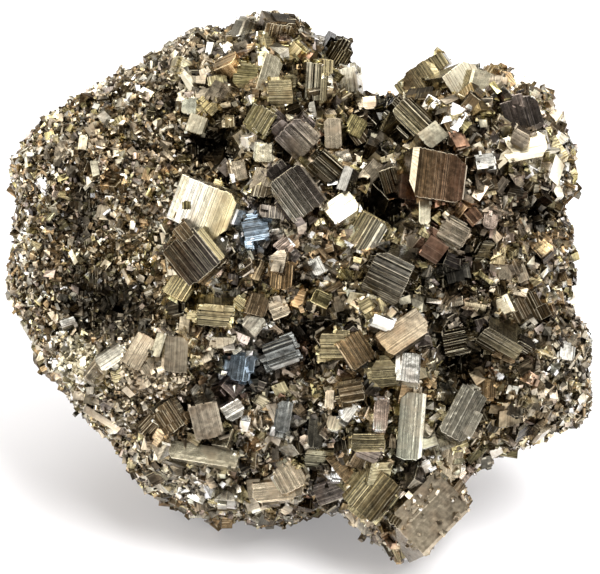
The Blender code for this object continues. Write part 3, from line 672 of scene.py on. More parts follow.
    Crystal("left_shard", 68, 322, 2.8, 1.8, 2.4, 20, -6, 18, 1.2, Tone.WHITE, Sheen.DIM),
)


def new_object(name: str, data: bpy.types.ID) -> bpy.types.Object:
    """An object that holds this data, in the scene."""
    made = bpy.data.objects.new(name, data)
    bpy.context.scene.collection.objects.link(made)
    return made


@dataclass
class MeshParts:
    """Faces gathered for one piece, with what the finish reads at each of their corners.

    A corner has a tone, with the strength of the striations as its fourth number, and a place: how far
    it lies across and along the striations in metres, and a number that differs from face to face.
    """

    points: list[np.ndarray] = field(default_factory=list)
    faces: list[tuple[np.ndarray, np.ndarray, np.ndarray]] = field(default_factory=list)
    count: int = 0

    def add(self, points: np.ndarray, *faces: tuple[np.ndarray, np.ndarray, np.ndarray]) -> None:
        """Adds points and the faces between them.

        Args:
            points: (n, 3) points in the row frame.
            faces: Batches of faces with k corners: (m, k) indices into points, (m, k, 4) tones and
                (m, k, 3) places.
        """
        self.points.append(points)
        self.faces.extend((index + self.count, tones, places) for index, tones, places in faces)
        self.count += len(points)

    def to_object(self, name: str, material: bpy.types.Material) -> bpy.types.Object:
        """One object of all that was added, cut off flat where the lump rests, in its solid's place.

        Args:
            name: The piece's name.
            material: Its finish.

        Returns:
            The object, at the origin.
        """
        points = np.concatenate(self.points)
        points[:, 2] = np.maximum(points[:, 2], 0.0)
        sides = np.concatenate([np.full(len(index), index.shape[1]) for index, _, _ in self.faces])
        corners = np.concatenate([index.ravel() for index, _, _ in self.faces])
        mesh = bpy.data.meshes.new(name)
        mesh.vertices.add(len(points))
        mesh.vertices.foreach_set("co", points.astype(np.float32).ravel())
        mesh.loops.add(len(corners))
        mesh.loops.foreach_set("vertex_index", corners.astype(np.int32))
        mesh.polygons.add(len(sides))
        mesh.polygons.foreach_set("loop_start", (np.cumsum(sides) - sides).astype(np.int32))
        mesh.update(calc_edges=True)
        mesh.shade_flat()
        tones = np.concatenate([tones.reshape(-1, 4) for _, tones, _ in self.faces])
        tone = mesh.attributes.new("tone", "FLOAT_COLOR", "CORNER")
        tone.data.foreach_set("color", tones.astype(np.float32).ravel())
        places = np.concatenate([places.reshape(-1, 3) for _, _, places in self.faces])
        place = mesh.attributes.new("place", "FLOAT_VECTOR", "CORNER")
        place.data.foreach_set("vector", places.astype(np.float32).ravel())
        mesh.materials.append(material)
        made = new_object(name, mesh)
        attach(made, "root")
        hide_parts(NODE)
        LOG.info("%s: %d triangles", name, int((sides - 2).sum()))
        return made


BOX_CORNERS = np.array(
    [(x, y, z) for x in (-0.5, 0.5) for y in (-0.5, 0.5) for z in (-0.5, 0.5)]
)
BOX_FACES = np.array(
    ((0, 1, 3, 2), (4, 6, 7, 5), (0, 4, 5, 1), (2, 3, 7, 6), (0, 2, 6, 4), (1, 5, 7, 3))
)
# For each face of the box, the two of its axes that run across and along its striations
BOX_GRAIN = np.array(((1, 2), (1, 2), (2, 0), (2, 0), (0, 1), (0, 1)))
HALVES = ((0, 1, 2), (0, 2, 3))


@dataclass(frozen=True)
class Chipping:
    """How small crystals differ from clean boxes.

    uneven is how far a corner may be shifted, as a share of the shortest side. face_spread is how much
    lighter or darker one face is than the next, and glow how much so across a crystal, as a painted
    reflection towards a random side. The faces of shards are broken along a diagonal.
    """

    uneven: float = 0.0
    face_spread: float = 0.25
    glow: float = 0.35
    shards: bool = False


def box_batch(
    parts: MeshParts,
    middles: np.ndarray,
    turns: np.ndarray,
    sides: np.ndarray,
    tones: np.ndarray,
    chipping: Chipping,
    rng: np.random.Generator,
) -> None:
    """Adds many boxes at once: corner = middle + turn (side x unit corner + a random shift).

    Args:
        parts: What the boxes are added to.
        middles: (n, 3) middles in the row frame.
        turns: (n, 3, 3) rotations.
        sides: (n, 3) sides.
        tones: (n, 4) tones.
        chipping: How the boxes are broken.
        rng: The random numbers.
    """
    count = len(middles)
    faces, grain = BOX_FACES, BOX_GRAIN
    if chipping.shards:
        faces, grain = BOX_FACES[:, HALVES].reshape(-1, 3), np.repeat(BOX_GRAIN, 2, axis=0)
    shift = rng.uniform(-chipping.uneven, chipping.uneven, (count, 8, 3))
    local = BOX_CORNERS * sides[:, None, :] + shift * sides.min(axis=1)[:, None, None]
    points = np.einsum("nij,nkj->nki", turns, local) + middles[:, None, :]
    face_light = rng.uniform(1.0 - chipping.face_spread, 1.0 + chipping.face_spread, (count, len(faces)))
    # Painted reflection: each box lighter towards a random side
    slope = rng.normal(0.0, 2.0 * chipping.glow, (count, 3))
    corner_light = np.exp(np.einsum("kj,nj->nk", BOX_CORNERS, slope))
    light = face_light[:, :, None] * corner_light[:, faces]
    ends = local[:, faces]
    across = np.take_along_axis(ends, grain[None, :, None, :1], axis=-1)[..., 0]
    along = np.take_along_axis(ends, grain[None, :, None, 1:], axis=-1)[..., 0]
    seeds = rng.uniform(0.0, 90.0, (count, 1, 1)) + np.arange(len(faces))[None, :, None]
    places = np.stack((across, along, np.broadcast_to(seeds, across.shape)), axis=-1)
    corners = faces.shape[1]
    index = faces[None] + np.arange(count)[:, None, None] * 8
    lit = shaded(tones[:, None, None, :], light)
    batch = (index.reshape(-1, corners), lit.reshape(-1, corners, 4), places.reshape(-1, corners, 3))
    parts.add(points.reshape(-1, 3), batch)


# The pale metal colour that painted highlights on ridges, edges and ends are drawn towards
HIGHLIGHT_METAL = (0.62, 0.56, 0.42)

# What the metal is multiplied by where it has browned
BROWNING = (0.62, 0.50, 0.42)

# How much lighter a strip may be than its crystal, and how far what would be lighter still is drawn towards
# the painted highlight colour
MOST_LIGHT = 1.3
MOST_HIGHLIGHTED = 0.7

# What parts the finish's lines on one side of a crystal from those on the next, and on its ends
SIDE_GAP = 3.0 * MM
SIDE_SEED = 3.0
CAP_SEED = 7.0


@dataclass(frozen=True)
class Fluting:
    """How a crystal's sides are striated.

    They are flat strips at uneven levels, parted by narrow lines that are grooves or ridges. blunt is
    the most that a long edge is cut away, as a share of the crystal's thinner side. Ridges and edges
    get a painted highlight and grooves painted shade: the highlight is how much lighter than the
    crystal ridges and edges are. The spreads are shares of the mean widths, and grooves and ridges
    are given in steps.
    """

    strip: float = 0.62 * MM
    step: float = 0.10 * MM
    line: float = 0.13 * MM
    strip_spread: tuple[float, float] = (0.35, 1.65)
    line_spread: tuple[float, float] = (0.6, 1.4)
    groove_depths: tuple[float, float] = (0.5, 1.2)
    ridge_rise: float = 0.3
    contrast: float = 0.8
    ridges: float = 0.4
    painted_highlight: float = 1.5
    bevel: float = 0.07 * MM
    blunt: float = 0.16
    ring_gap: float = 1.6 * MM
    lean: float = 0.035
    ragged: float = 0.09 * MM
    corner_cut: float = 0.30
    # glow paints a reflection: how much lighter the crystal gets towards a random side
    glow: float = 0.22

    def side(
        self, length: float, strip: float, cuts: tuple[float, float], rng: np.random.Generator
    ) -> tuple[np.ndarray, np.ndarray, np.ndarray]:
        """One side as seen on end: strips and lines in turn, two points for each.

        The strips' levels are a random walk folded back at the outer face, and each strip slopes a
        little. A line lies below its strips where it is a groove and above them where it is a ridge.

        Args:
            length: The side's length.
            strip: The mean width of a strip.
            cuts: How much of each end the cut edges take away.
            rng: The random numbers.

        Returns:
            Places along the side, insets, and how light the face that starts at each point is.
        """
        room = length - sum(cuts)
        count = max(1, round(room / strip))
        lines = self.line * rng.uniform(*self.line_spread, count - 1)
        widths = rng.uniform(*self.strip_spread, count)
        widths = widths / widths.sum() * (room - lines.sum())
        spans = np.zeros(2 * count - 1)
        spans[0::2], spans[1::2] = widths, lines
        ends = cuts[0] + np.concatenate(((0.0,), np.cumsum(spans)))
        level = np.abs(np.cumsum(rng.normal(0.0, 0.45, count))) % 1.0 * self.step
        groove = rng.uniform(size=count - 1) > self.ridges
        depth = rng.uniform(*self.groove_depths, count - 1)
        depth = np.where(groove, depth, -self.ridge_rise) * self.step
        sunk = np.zeros(2 * count - 1)
        sunk[0::2], sunk[1::2] = level, (level[:-1] + level[1:]) / 2 + depth
        slope = rng.normal(0.0, 0.22, 2 * count - 1) * self.step
        light = np.zeros(2 * count - 1)
        light[0::2] = np.exp(rng.normal(0.0, 0.14 * self.contrast, count))
        # Painted highlight on ridges and painted shade in grooves
        highlighted = 1.0 + (self.painted_highlight - 1.0) * self.contrast * rng.uniform(0.3, 1.1, count - 1)
        light[1::2] = np.where(groove, 1.0 - 0.75 * self.contrast, highlighted)
        places = np.stack((ends[:-1], ends[1:]), axis=1).ravel()
        insets = np.stack((sunk - slope, sunk + slope), axis=1).ravel()
        # Painted shade on the short step after each strip, and a painted highlight on the cut edge at the
        # side's end
        lights = np.stack((light, light * 0.7), axis=1).ravel()
        lights[-1] = self.painted_highlight
        return places, insets, lights


@dataclass(frozen=True)
class StriatedPrism:
    """A crystal with striations: a rectangular section with stepped sides, carried along its length."""

    across: float
    along: float
    deep: float
    fluting: Fluting

    def section(self, rng: np.random.Generator) -> tuple[np.ndarray, ...]:
        """The section's points, its four sides walked clockwise from the front.

        Args:
            rng: The random numbers.

        Returns:
            Arrays of (n, 2) places, (n, 2) inward directions, and (n,) insets, lightnesses, lengths
            walked and whether the side's striations run across it.
        """
        half_x, half_z = self.across / 2, self.deep / 2
        walks = (
            ((-half_x, half_z), (1.0, 0.0), (0.0, -1.0), self.across, self.fluting.strip),
            ((half_x, half_z), (0.0, -1.0), (-1.0, 0.0), self.deep, self.deep),
            ((half_x, -half_z), (-1.0, 0.0), (0.0, 1.0), self.across, self.across),
            ((-half_x, -half_z), (0.0, 1.0), (1.0, 0.0), self.deep, self.deep),
        )
        thin = min(self.across, self.deep)
        cuts = self.fluting.bevel + self.fluting.blunt * thin * rng.uniform(0.0, 1.0, 4) ** 4
        side_lights = (1.0, rng.uniform(0.5, 1.3), 1.0, rng.uniform(0.5, 1.3))
        sides = []
        walked = 0.0
        for number, (start, way, inward, length, strip) in enumerate(walks):
            ends = (cuts[number], cuts[(number + 1) % 4])
            along, inset, light = self.fluting.side(length, strip, ends, rng)
            place = np.array(start) + along[:, None] * np.array(way)
            inwards = np.tile(inward, (len(along), 1))
            sideways = np.full(len(along), number % 2 == 1)
            sides.append((place, inwards, inset, light * side_lights[number], walked + along, sideways))
            walked += length + SIDE_GAP
        return tuple(map(np.concatenate, zip(*sides)))

    def rings(self, places: np.ndarray, rng: np.random.Generator) -> np.ndarray:
        """How far along the crystal each of its rings' points lies.

        Its ends are not quite square, each strip ends at a level of its own, and the corners are cut.

        Args:
            places: The section's places.
            rng: The random numbers.

        Returns:
            (rings, n) lengths.
        """
        bevel = self.fluting.bevel
        inner = max(1, round((self.along - 2 * bevel) / self.fluting.ring_gap))
        levels = np.linspace(-self.along / 2 + bevel, self.along / 2 - bevel, inner + 1)
        levels = np.concatenate(((-self.along / 2,), levels, (self.along / 2,)))
        lean = rng.normal(0.0, self.fluting.lean, (2, 2))
        share = (levels / self.along + 0.5)[:, None]
        slope = (1.0 - share) * lean[0] + share * lean[1]
        aside = places[:, 0] / (self.across / 2)
        short = []
        for _ in range(2):
            ragged = np.abs(rng.normal(0.0, self.fluting.ragged, len(places) // 2)).repeat(2)
            for sign in (-1.0, 1.0):
                width = rng.uniform(0.15, 0.6)
                cut = self.fluting.corner_cut * self.across * rng.uniform() ** 2
                ragged = ragged + cut * np.clip((aside * sign - 1.0 + width) / width, 0.0, 1.0)
            short.append(ragged)
        return levels[:, None] + slope @ places.T + (1.0 - share) * short[0] - share * short[1]

    def add_to(
        self,
        parts: MeshParts,
        middle: np.ndarray,
        turned: np.ndarray,
        tone: np.ndarray,
        rng: np.random.Generator,
        blend: tuple[np.ndarray, np.ndarray] | None = None,
    ) -> None:
        """Adds the crystal: point = middle + turn (section point set inwards, place along).

        Args:
            parts: What the crystal is added to.
            middle: Its middle in the row frame.
            turned: Its rotation.
            tone: Its tone.
            rng: The random numbers.
            blend: The tone that it turns to, and in which direction in its own axes.
        """
        places, inwards, insets, lights, lengths, sideways = self.section(rng)
        y = self.rings(places, rng)
        rings, count = y.shape
        wander = np.sin(rng.uniform(0.0, 6.28, count) + y * rng.uniform(150.0, 600.0, count))
        inset = insets + wander * self.fluting.step * 0.06
        inset[0] += self.fluting.bevel
        inset[-1] += self.fluting.bevel
        flat = places + inwards * inset[..., None]
        local = np.stack((flat[..., 0], y, flat[..., 1]), axis=-1).reshape(-1, 3)
        caps = np.array(((0.0, -self.along / 2, 0.0), (0.0, self.along / 2, 0.0)))
        local = np.concatenate((local, caps))

        ring, step = np.meshgrid(np.arange(rings - 1), np.arange(count), indexing="ij")
        after = (step + 1) % count
        low, high = ring * count, (ring + 1) * count
        quads = np.stack((low + step, low + after, high + after, high + step), axis=-1)
        # Painted highlight on the rings at both ends
        ends = (ring == 0) | (ring == rings - 2)
        lit = np.where(ends, self.fluting.painted_highlight, lights[step])
        seed = rng.uniform(0.0, 90.0)
        at_start = np.stack(np.broadcast_arrays(lengths[step], y[ring, step], seed), axis=-1)
        at_end = np.stack(np.broadcast_arrays(lengths[step], y[ring + 1, step], seed), axis=-1)
        walked = np.zeros_like(at_start)
        walked[..., 0] = np.hypot(*(places[after] - places[step]).transpose(2, 0, 1))
        quad_places = np.stack((at_start, at_start + walked, at_end + walked, at_end), axis=2)
        across = sideways[step][..., None, None]
        swapped = quad_places[..., (1, 0, 2)] + (0.0, 0.0, SIDE_SEED)
        quad_places = np.where(across, swapped, quad_places)

        first, second = np.arange(count), (np.arange(count) + 1) % count
        last = (rings - 1) * count
        bottom = np.stack((second, first, np.full(count, rings * count)), axis=-1)
        top = np.stack((last + first, last + second, np.full(count, rings * count + 1)), axis=-1)
        fans = np.concatenate((bottom, top))
        cap_at = np.stack((local[:, 2], local[:, 0], np.full(len(local), seed + CAP_SEED)), axis=-1)
        cap_light = np.repeat(rng.uniform(0.6, 1.25, 2), count)
        # Painted reflection: the crystal lighter towards a random side
        slope = rng.normal(0.0, 2.0 * self.fluting.glow, 3) / (self.across, self.along, self.deep)
        glow = np.exp(local @ slope)
        tones = np.tile(tone, (len(local), 1))
        if blend is not None:
            towards = smooth_step(0.5 + local @ (blend[1] / (self.across, self.along, self.deep)))
            tones = tones + (blend[0] - tone) * towards[:, None]
        quads = quads.reshape(-1, 4)
        lit = lit.reshape(-1, 1)
        side_tones = shaded(tones[quads], np.minimum(lit, MOST_LIGHT) * glow[quads])
        # Painted highlight: what would be lighter than MOST_LIGHT is drawn towards a pale metal colour
        highlighted = np.clip((lit - MOST_LIGHT) / 4.0, 0.0, MOST_HIGHLIGHTED)[..., None]
        side_tones[..., :3] += (np.array(HIGHLIGHT_METAL) - side_tones[..., :3]) * highlighted
        parts.add(
            local @ turned.T + middle,
            (quads, side_tones, quad_places.reshape(-1, 4, 3)),
            (fans, shaded(tones[fans], cap_light[:, None] * glow[fans]), cap_at[fans]),
        )


class Body(NamedTuple):
    """A crystal as it stands in the row frame.

    clean says that the middle of its front face stays free of small cubes.
    """

    middle: np.ndarray
    turned: np.ndarray
    sides: np.ndarray
    tone: np.ndarray
    clean: bool


@dataclass
class Grown:
    """The crystals grown so far, for the small cubes that sit in their faces."""

    bodies: list[Body] = field(default_factory=list)

    def owners(self, each: int, rng: np.random.Generator) -> tuple[np.ndarray, ...]:
        """Each crystal repeated: middles, rotations, sides, tones and whether its face stays clean.

        Args:
            each: How many times, on average.
            rng: The random numbers.

        Returns:
            The arrays.
        """
        count = len(self.bodies)
        owner = np.repeat(np.arange(count), rng.poisson(each, count))
        return tuple(np.array(values)[owner] for values in zip(*self.bodies))

    def terrace(self, parts: MeshParts, each: int, rng: np.random.Generator) -> None:
        """Adds blocks in step with the crystals, that stand a little out of their faces and edges.

        Args:
            parts: What the blocks are added to.
            each: How many for each crystal, on average.
            rng: The random numbers.
        """
        middles, turns, sides, tones, clean = self.owners(each, rng)
        count = len(middles)
        size = rng.uniform(0.3, 0.8, (count, 3))
        out = rng.uniform(-0.30, 0.06, (count, 3))
        axis = rng.integers(0, 3, count)
        out[np.arange(count), axis] = rng.uniform(0.03, 0.13, count)
        place = rng.choice((-1.0, 1.0), (count, 3)) * (0.5 - size / 2 + out)
        ahead = place[:, 2] + size[:, 2] / 2 > 0.5
        kept = ~(ahead & clean) & (tones[:, 3] > 0.2)
        world = np.einsum("nij,nj->ni", turns, place * sides) + middles
        own_tones = shaded(tones, np.exp(rng.normal(0.0, 0.35, count)))
        chosen = (world[kept], turns[kept], (size * sides)[kept], own_tones[kept])
        box_batch(parts, *chosen, Chipping(uneven=0.03), rng)

    def stud(self, parts: MeshParts, each: int, rng: np.random.Generator) -> None:
        """Adds broken bits half sunk in the faces, crowded towards the edges and half of them in line.

        Args:
            parts: What the bits are added to.
            each: How many for each crystal, on average.
            rng: The random numbers.
        """
        middles, turns, sides, tones, clean = self.owners(each, rng)
        count = len(middles)
        place = rng.uniform(-1.0, 1.0, (count, 3))
        place = np.sign(place) * np.abs(place) ** 0.45 / 2
        axis = rng.integers(0, 3, count)
        place[np.arange(count), axis] = 0.5 * rng.choice((-1.0, 1.0), count)
        middle_of_face = (np.abs(place[:, :2]).max(axis=1) < 0.42) & (axis == 2)
        size = np.exp(rng.normal(math.log(0.40), 0.4, count)) * MM
        size = np.minimum(size, 0.4 * sides.min(axis=1))
        world = np.einsum("nij,nj->ni", turns, place * sides) + middles
        in_line = rng.uniform(size=count) < 0.4
        own_turns = np.where(in_line[:, None, None], turns, random_turns(rng, count))
        own_sides = size[:, None] * np.exp(rng.normal(0.0, 0.4, (count, 3)))
        own_tones = shaded(tones, np.exp(rng.normal(0.05, 0.5, count)))
        kept = (world[:, 2] > size * 1.6) & ~(middle_of_face & clean)
        chosen = (world[kept], own_turns[kept], own_sides[kept], own_tones[kept])
        box_batch(parts, *chosen, Chipping(0.12, shards=True), rng)


def outgrowths(
    sides: np.ndarray, count: int, rng: np.random.Generator
) -> tuple[np.ndarray, np.ndarray]:
    """Smaller blocks that grow in step with a crystal and stand out of its long edges and ends.

    Args:
        sides: The crystal's three sides.
        count: How many.
        rng: The random numbers.

    Returns:
        (count, 3) middles in the crystal's own axes and (count, 3) sides.
    """
    size = sides * rng.uniform(0.25, 0.60, (count, 3))
    place = rng.uniform(-0.5, 0.5, (count, 3)) * (sides - 0.4 * size)
    axis = rng.integers(0, 2, count)
    way = rng.choice((-1.0, 1.0), count)
    every = np.arange(count)
    out = rng.uniform(-0.30, 0.10, count) * size[every, axis]
    place[every, axis] = way * (sides[axis] / 2 + out)
    place[:, 2] = sides[2] / 2 - size[:, 2] / 2 + rng.uniform(-0.30, 0.05, count) * sides[2]
    return place, size


def face_turn(grain: float, turn: float, tip: float) -> np.ndarray:
    """The rotation, in the view's axes, of a crystal whose front face looks along its own +Z.

    Args:
        grain: The direction of its striations, counter-clockwise from the right, in degrees.
        turn: How far the face looks to the right.
        tip: How far the face looks up.

    Returns:
        A 3 x 3 matrix.
    """
    roll = Euler((0.0, 0.0, math.radians(grain - 90.0))).to_matrix()
    tilt = Euler((math.radians(-tip), 0.0, 0.0)).to_matrix()
    swing = Euler((0.0, math.radians(turn), 0.0)).to_matrix()
    return np.array(swing @ tilt @ roll)


def random_turns(rng: np.random.Generator, count: int) -> np.ndarray:
    """Rotations drawn evenly from all rotations, from four normal numbers each as a quaternion.

    Args:
        rng: The random numbers.
        count: How many.

    Returns:
        (count, 3, 3) matrices.
    """
    w, x, y, z = rng.normal(size=(4, count))
    size = w * w + x * x + y * y + z * z
    rows = (
        (size - 2 * (y * y + z * z), 2 * (x * y - w * z), 2 * (x * z + w * y)),
        (2 * (x * y + w * z), size - 2 * (x * x + z * z), 2 * (y * z - w * x)),
        (2 * (x * z - w * y), 2 * (y * z + w * x), size - 2 * (x * x + y * y)),
    )
    return np.moveaxis(np.array(rows) / size, -1, 0)


def outward_turns(rng: np.random.Generator, ways: np.ndarray, tilt: float) -> np.ndarray:
    """Rotations whose +Z looks roughly outwards, turned evenly about it.

    Args:
        rng: The random numbers.
        ways: (n, 3) unit vectors outwards.
        tilt: How far +Z strays, as the deviation of each of its numbers.

    Returns:
        (n, 3, 3) matrices.
    """
    near = ways + rng.normal(0.0, tilt, ways.shape)
    near = near / np.linalg.norm(near, axis=1, keepdims=True)
    right = np.cross(near, rng.normal(size=ways.shape))
    right = right / np.linalg.norm(right, axis=1, keepdims=True)
    return np.stack((right, np.cross(near, right), near), axis=-1)


# How strongly striations show on crystals of each tone, from 0 to 1
CONTRASTS = {
    Tone.WHITE: 0.28,
    Tone.CREAM: 0.14,
    Tone.STRAW: 0.6,
    Tone.TAN: 0.26,
    Tone.GOLD: 0.85,
    Tone.BROWN: 0.9,
    Tone.DARK: 0.95,
    Tone.RUST: 0.28,
    Tone.OLIVE: 0.8,
    Tone.TEAL: 0.2,
}
USUAL_CONTRAST = 0.45


def toned(tone: Tone) -> np.ndarray:
    """A tone's colour, with the strength of its striations as a fourth number."""
    return np.array((*tone.value, CONTRASTS.get(tone, USUAL_CONTRAST)))


def mixed_tones(rng: np.random.Generator, count: int, shares: dict[Tone, float], spread: float) -> np.ndarray:
    """Colours drawn from a mixture of tones, each a little lighter or darker.

    Args:
        rng: The random numbers.
        count: How many.
        shares: Each tone's share of the mixture.
        spread: The spread of the lightness, as the deviation of its logarithm.

    Returns:
        (count, 4) tones.
    """
    kinds = np.array([toned(tone) for tone in shares])
    weights = np.array(list(shares.values()))
    chosen = kinds[rng.choice(len(kinds), count, p=weights / weights.sum())]
    return shaded(chosen, np.exp(rng.normal(0.0, spread, count)))


MASSIVE = {Tone.BROWN: 5, Tone.TAN: 3, Tone.OLIVE: 2, Tone.DARK: 3}


@dataclass
class MassivePyrite:
    """The fine-grained mass that the crystals grow from: a ball of squares moved to the lump's form.

    The squares are those of a cube's faces spread over a sphere, 6 x cells x cells of them.
    """

    lump: Lump
    seed: int = 41
    cells: int = 82
    sunk: float = 0.14 * MM
    # gloom is painted shade: the share of its colour the mass keeps, darkened as if shaded between its grains
    # and crystals
    gloom: float = 0.40
    spread: float = 0.3

    def ball(self) -> tuple[np.ndarray, np.ndarray]:
        """Directions all round and the squares between them.

        Returns:
            (n, 3) unit vectors and (m, 4) indices, facing outwards.
        """
        steps = np.tan(np.linspace(-math.pi / 4, math.pi / 4, self.cells + 1))
        a, b = np.meshgrid(steps, steps, indexing="ij")
        one = np.ones_like(a)
        faces = ((a, b, one), (b, a, -one), (one, a, b), (-one, b, a), (b, one, a), (a, -one, b))
        ways = np.array([np.stack(face, axis=-1) for face in faces]).reshape(-1, 3)
        ways = ways / np.linalg.norm(ways, axis=1, keepdims=True)
        side = self.cells + 1
        i, j = np.meshgrid(np.arange(self.cells), np.arange(self.cells), indexing="ij")
        low, high = i * side + j, (i + 1) * side + j
        square = np.stack((low, high, high + 1, low + 1), axis=-1)
        quads = np.concatenate([square.reshape(-1, 4) + face * side * side for face in range(6)])
        _, first, same = np.unique(np.round(ways, 6), axis=0, return_index=True, return_inverse=True)
        return ways[first], same.reshape(-1)[quads]

    def build(self, material: bpy.types.Material) -> bpy.types.Object:
        """Makes the mass: point = way x (reach + fine relief), cut off flat where it rests.

        Args:
            material: Its finish.

        Returns:
            The object.
        """
        ways, quads = self.ball()
        points = ways * (self.lump.rough_reach(ways) - self.sunk)[:, None]
        rng = np.random.default_rng(self.seed)
        centres = points[quads].mean(axis=1)
        tones = mixed_tones(rng, len(quads), MASSIVE, self.spread)
        # Painted shade: the whole mass darkened by gloom, and more in the front's hollows
        light = self.gloom * (0.10 + 0.90 * self.lump.hollow_shade(centres))
        tones = np.repeat(shaded(self.lump.tinted(centres, tones), light)[:, None, :], 4, axis=1)
        parts = MeshParts()
        parts.add(self.lump.plane.to_world(points), (quads, tones, points[quads]))
        return parts.to_object("massive_pyrite", material)


class Block(NamedTuple):
    """A block in step with a large crystal: its middle and sides in mm, in the crystal's own axes."""

    owner: str
    middle: tuple[float, float, float]
    sides: tuple[float, float, float]
    spin: float
    tone: Tone


BLOCKS = (
    Block("cream_cube", (-4.45, 0.1, 3.85), (1.5, 7.5, 1.0), 0.0, Tone.CREAM),
    Block("cream_cube", (-2.6, -0.7, 3.95), (1.5, 1.5, 0.9), 22.0, Tone.OLIVE),
    Block("brown_flute", (-3.9, 0.4, 2.3), (1.3, 6.2, 2.6), 0.0, Tone.GOLD),
    Block("tip_block", (-2.9, -5.1, 4.7), (2.2, 1.8, 1.0), 12.0, Tone.DARK),
)


class Blend(NamedTuple):
    """A large crystal whose tone turns to another in a direction in its own axes."""

    tone: Tone
    across: float
    along: float


BLENDS = {
    "cream_cube": Blend(Tone.STRAW, 1.1, 0.0),
    "rust_cube": Blend(Tone.AMBER, -1.0, 0.1),
    "brown_flute": Blend(Tone.VIOLET, -0.5, 0.5),
    "dark_flute": Blend(Tone.GOLD, 1.3, -0.2),
    "corner_cube": Blend(Tone.BROWN, 0.9, 0.0),
    "lower_flute": Blend(Tone.STEEL, -0.9, 0.3),
    "centre_flute": Blend(Tone.STEEL, 0.8, 0.0),
    "fan_flute": Blend(Tone.STEEL, 1.0, 0.0),
    "violet_diamond": Blend(Tone.TAN, 0.0, 0.7),
    "teal_slab": Blend(Tone.STEEL, 0.6, 0.6),
    "tip_flute": Blend(Tone.DARK, 0.9, 0.0),
    "upright_flute": Blend(Tone.CREAM, -0.9, 0.0),
    "pale_slab": Blend(Tone.BROWN, 0.0, -0.5),
    "slant_ledge": Blend(Tone.GOLD, 0.0, 0.6),
}


# The mean width of a strip in mm, where a large crystal's isn't the usual
STRIPS = {
    "ladder": 0.85,
    "gold_steps": 0.8,
    "gold_bars": 0.9,
    "bar_block": 0.9,
    "long_bars": 0.75,
    "pale_slab": 0.6,
}

# The large crystals whose faces are crusted with fine grains, and how many of them
CRUSTED = {"shelf": 430, "shelf_wing": 280, "tip_block": 60, "pale_heel": 20}


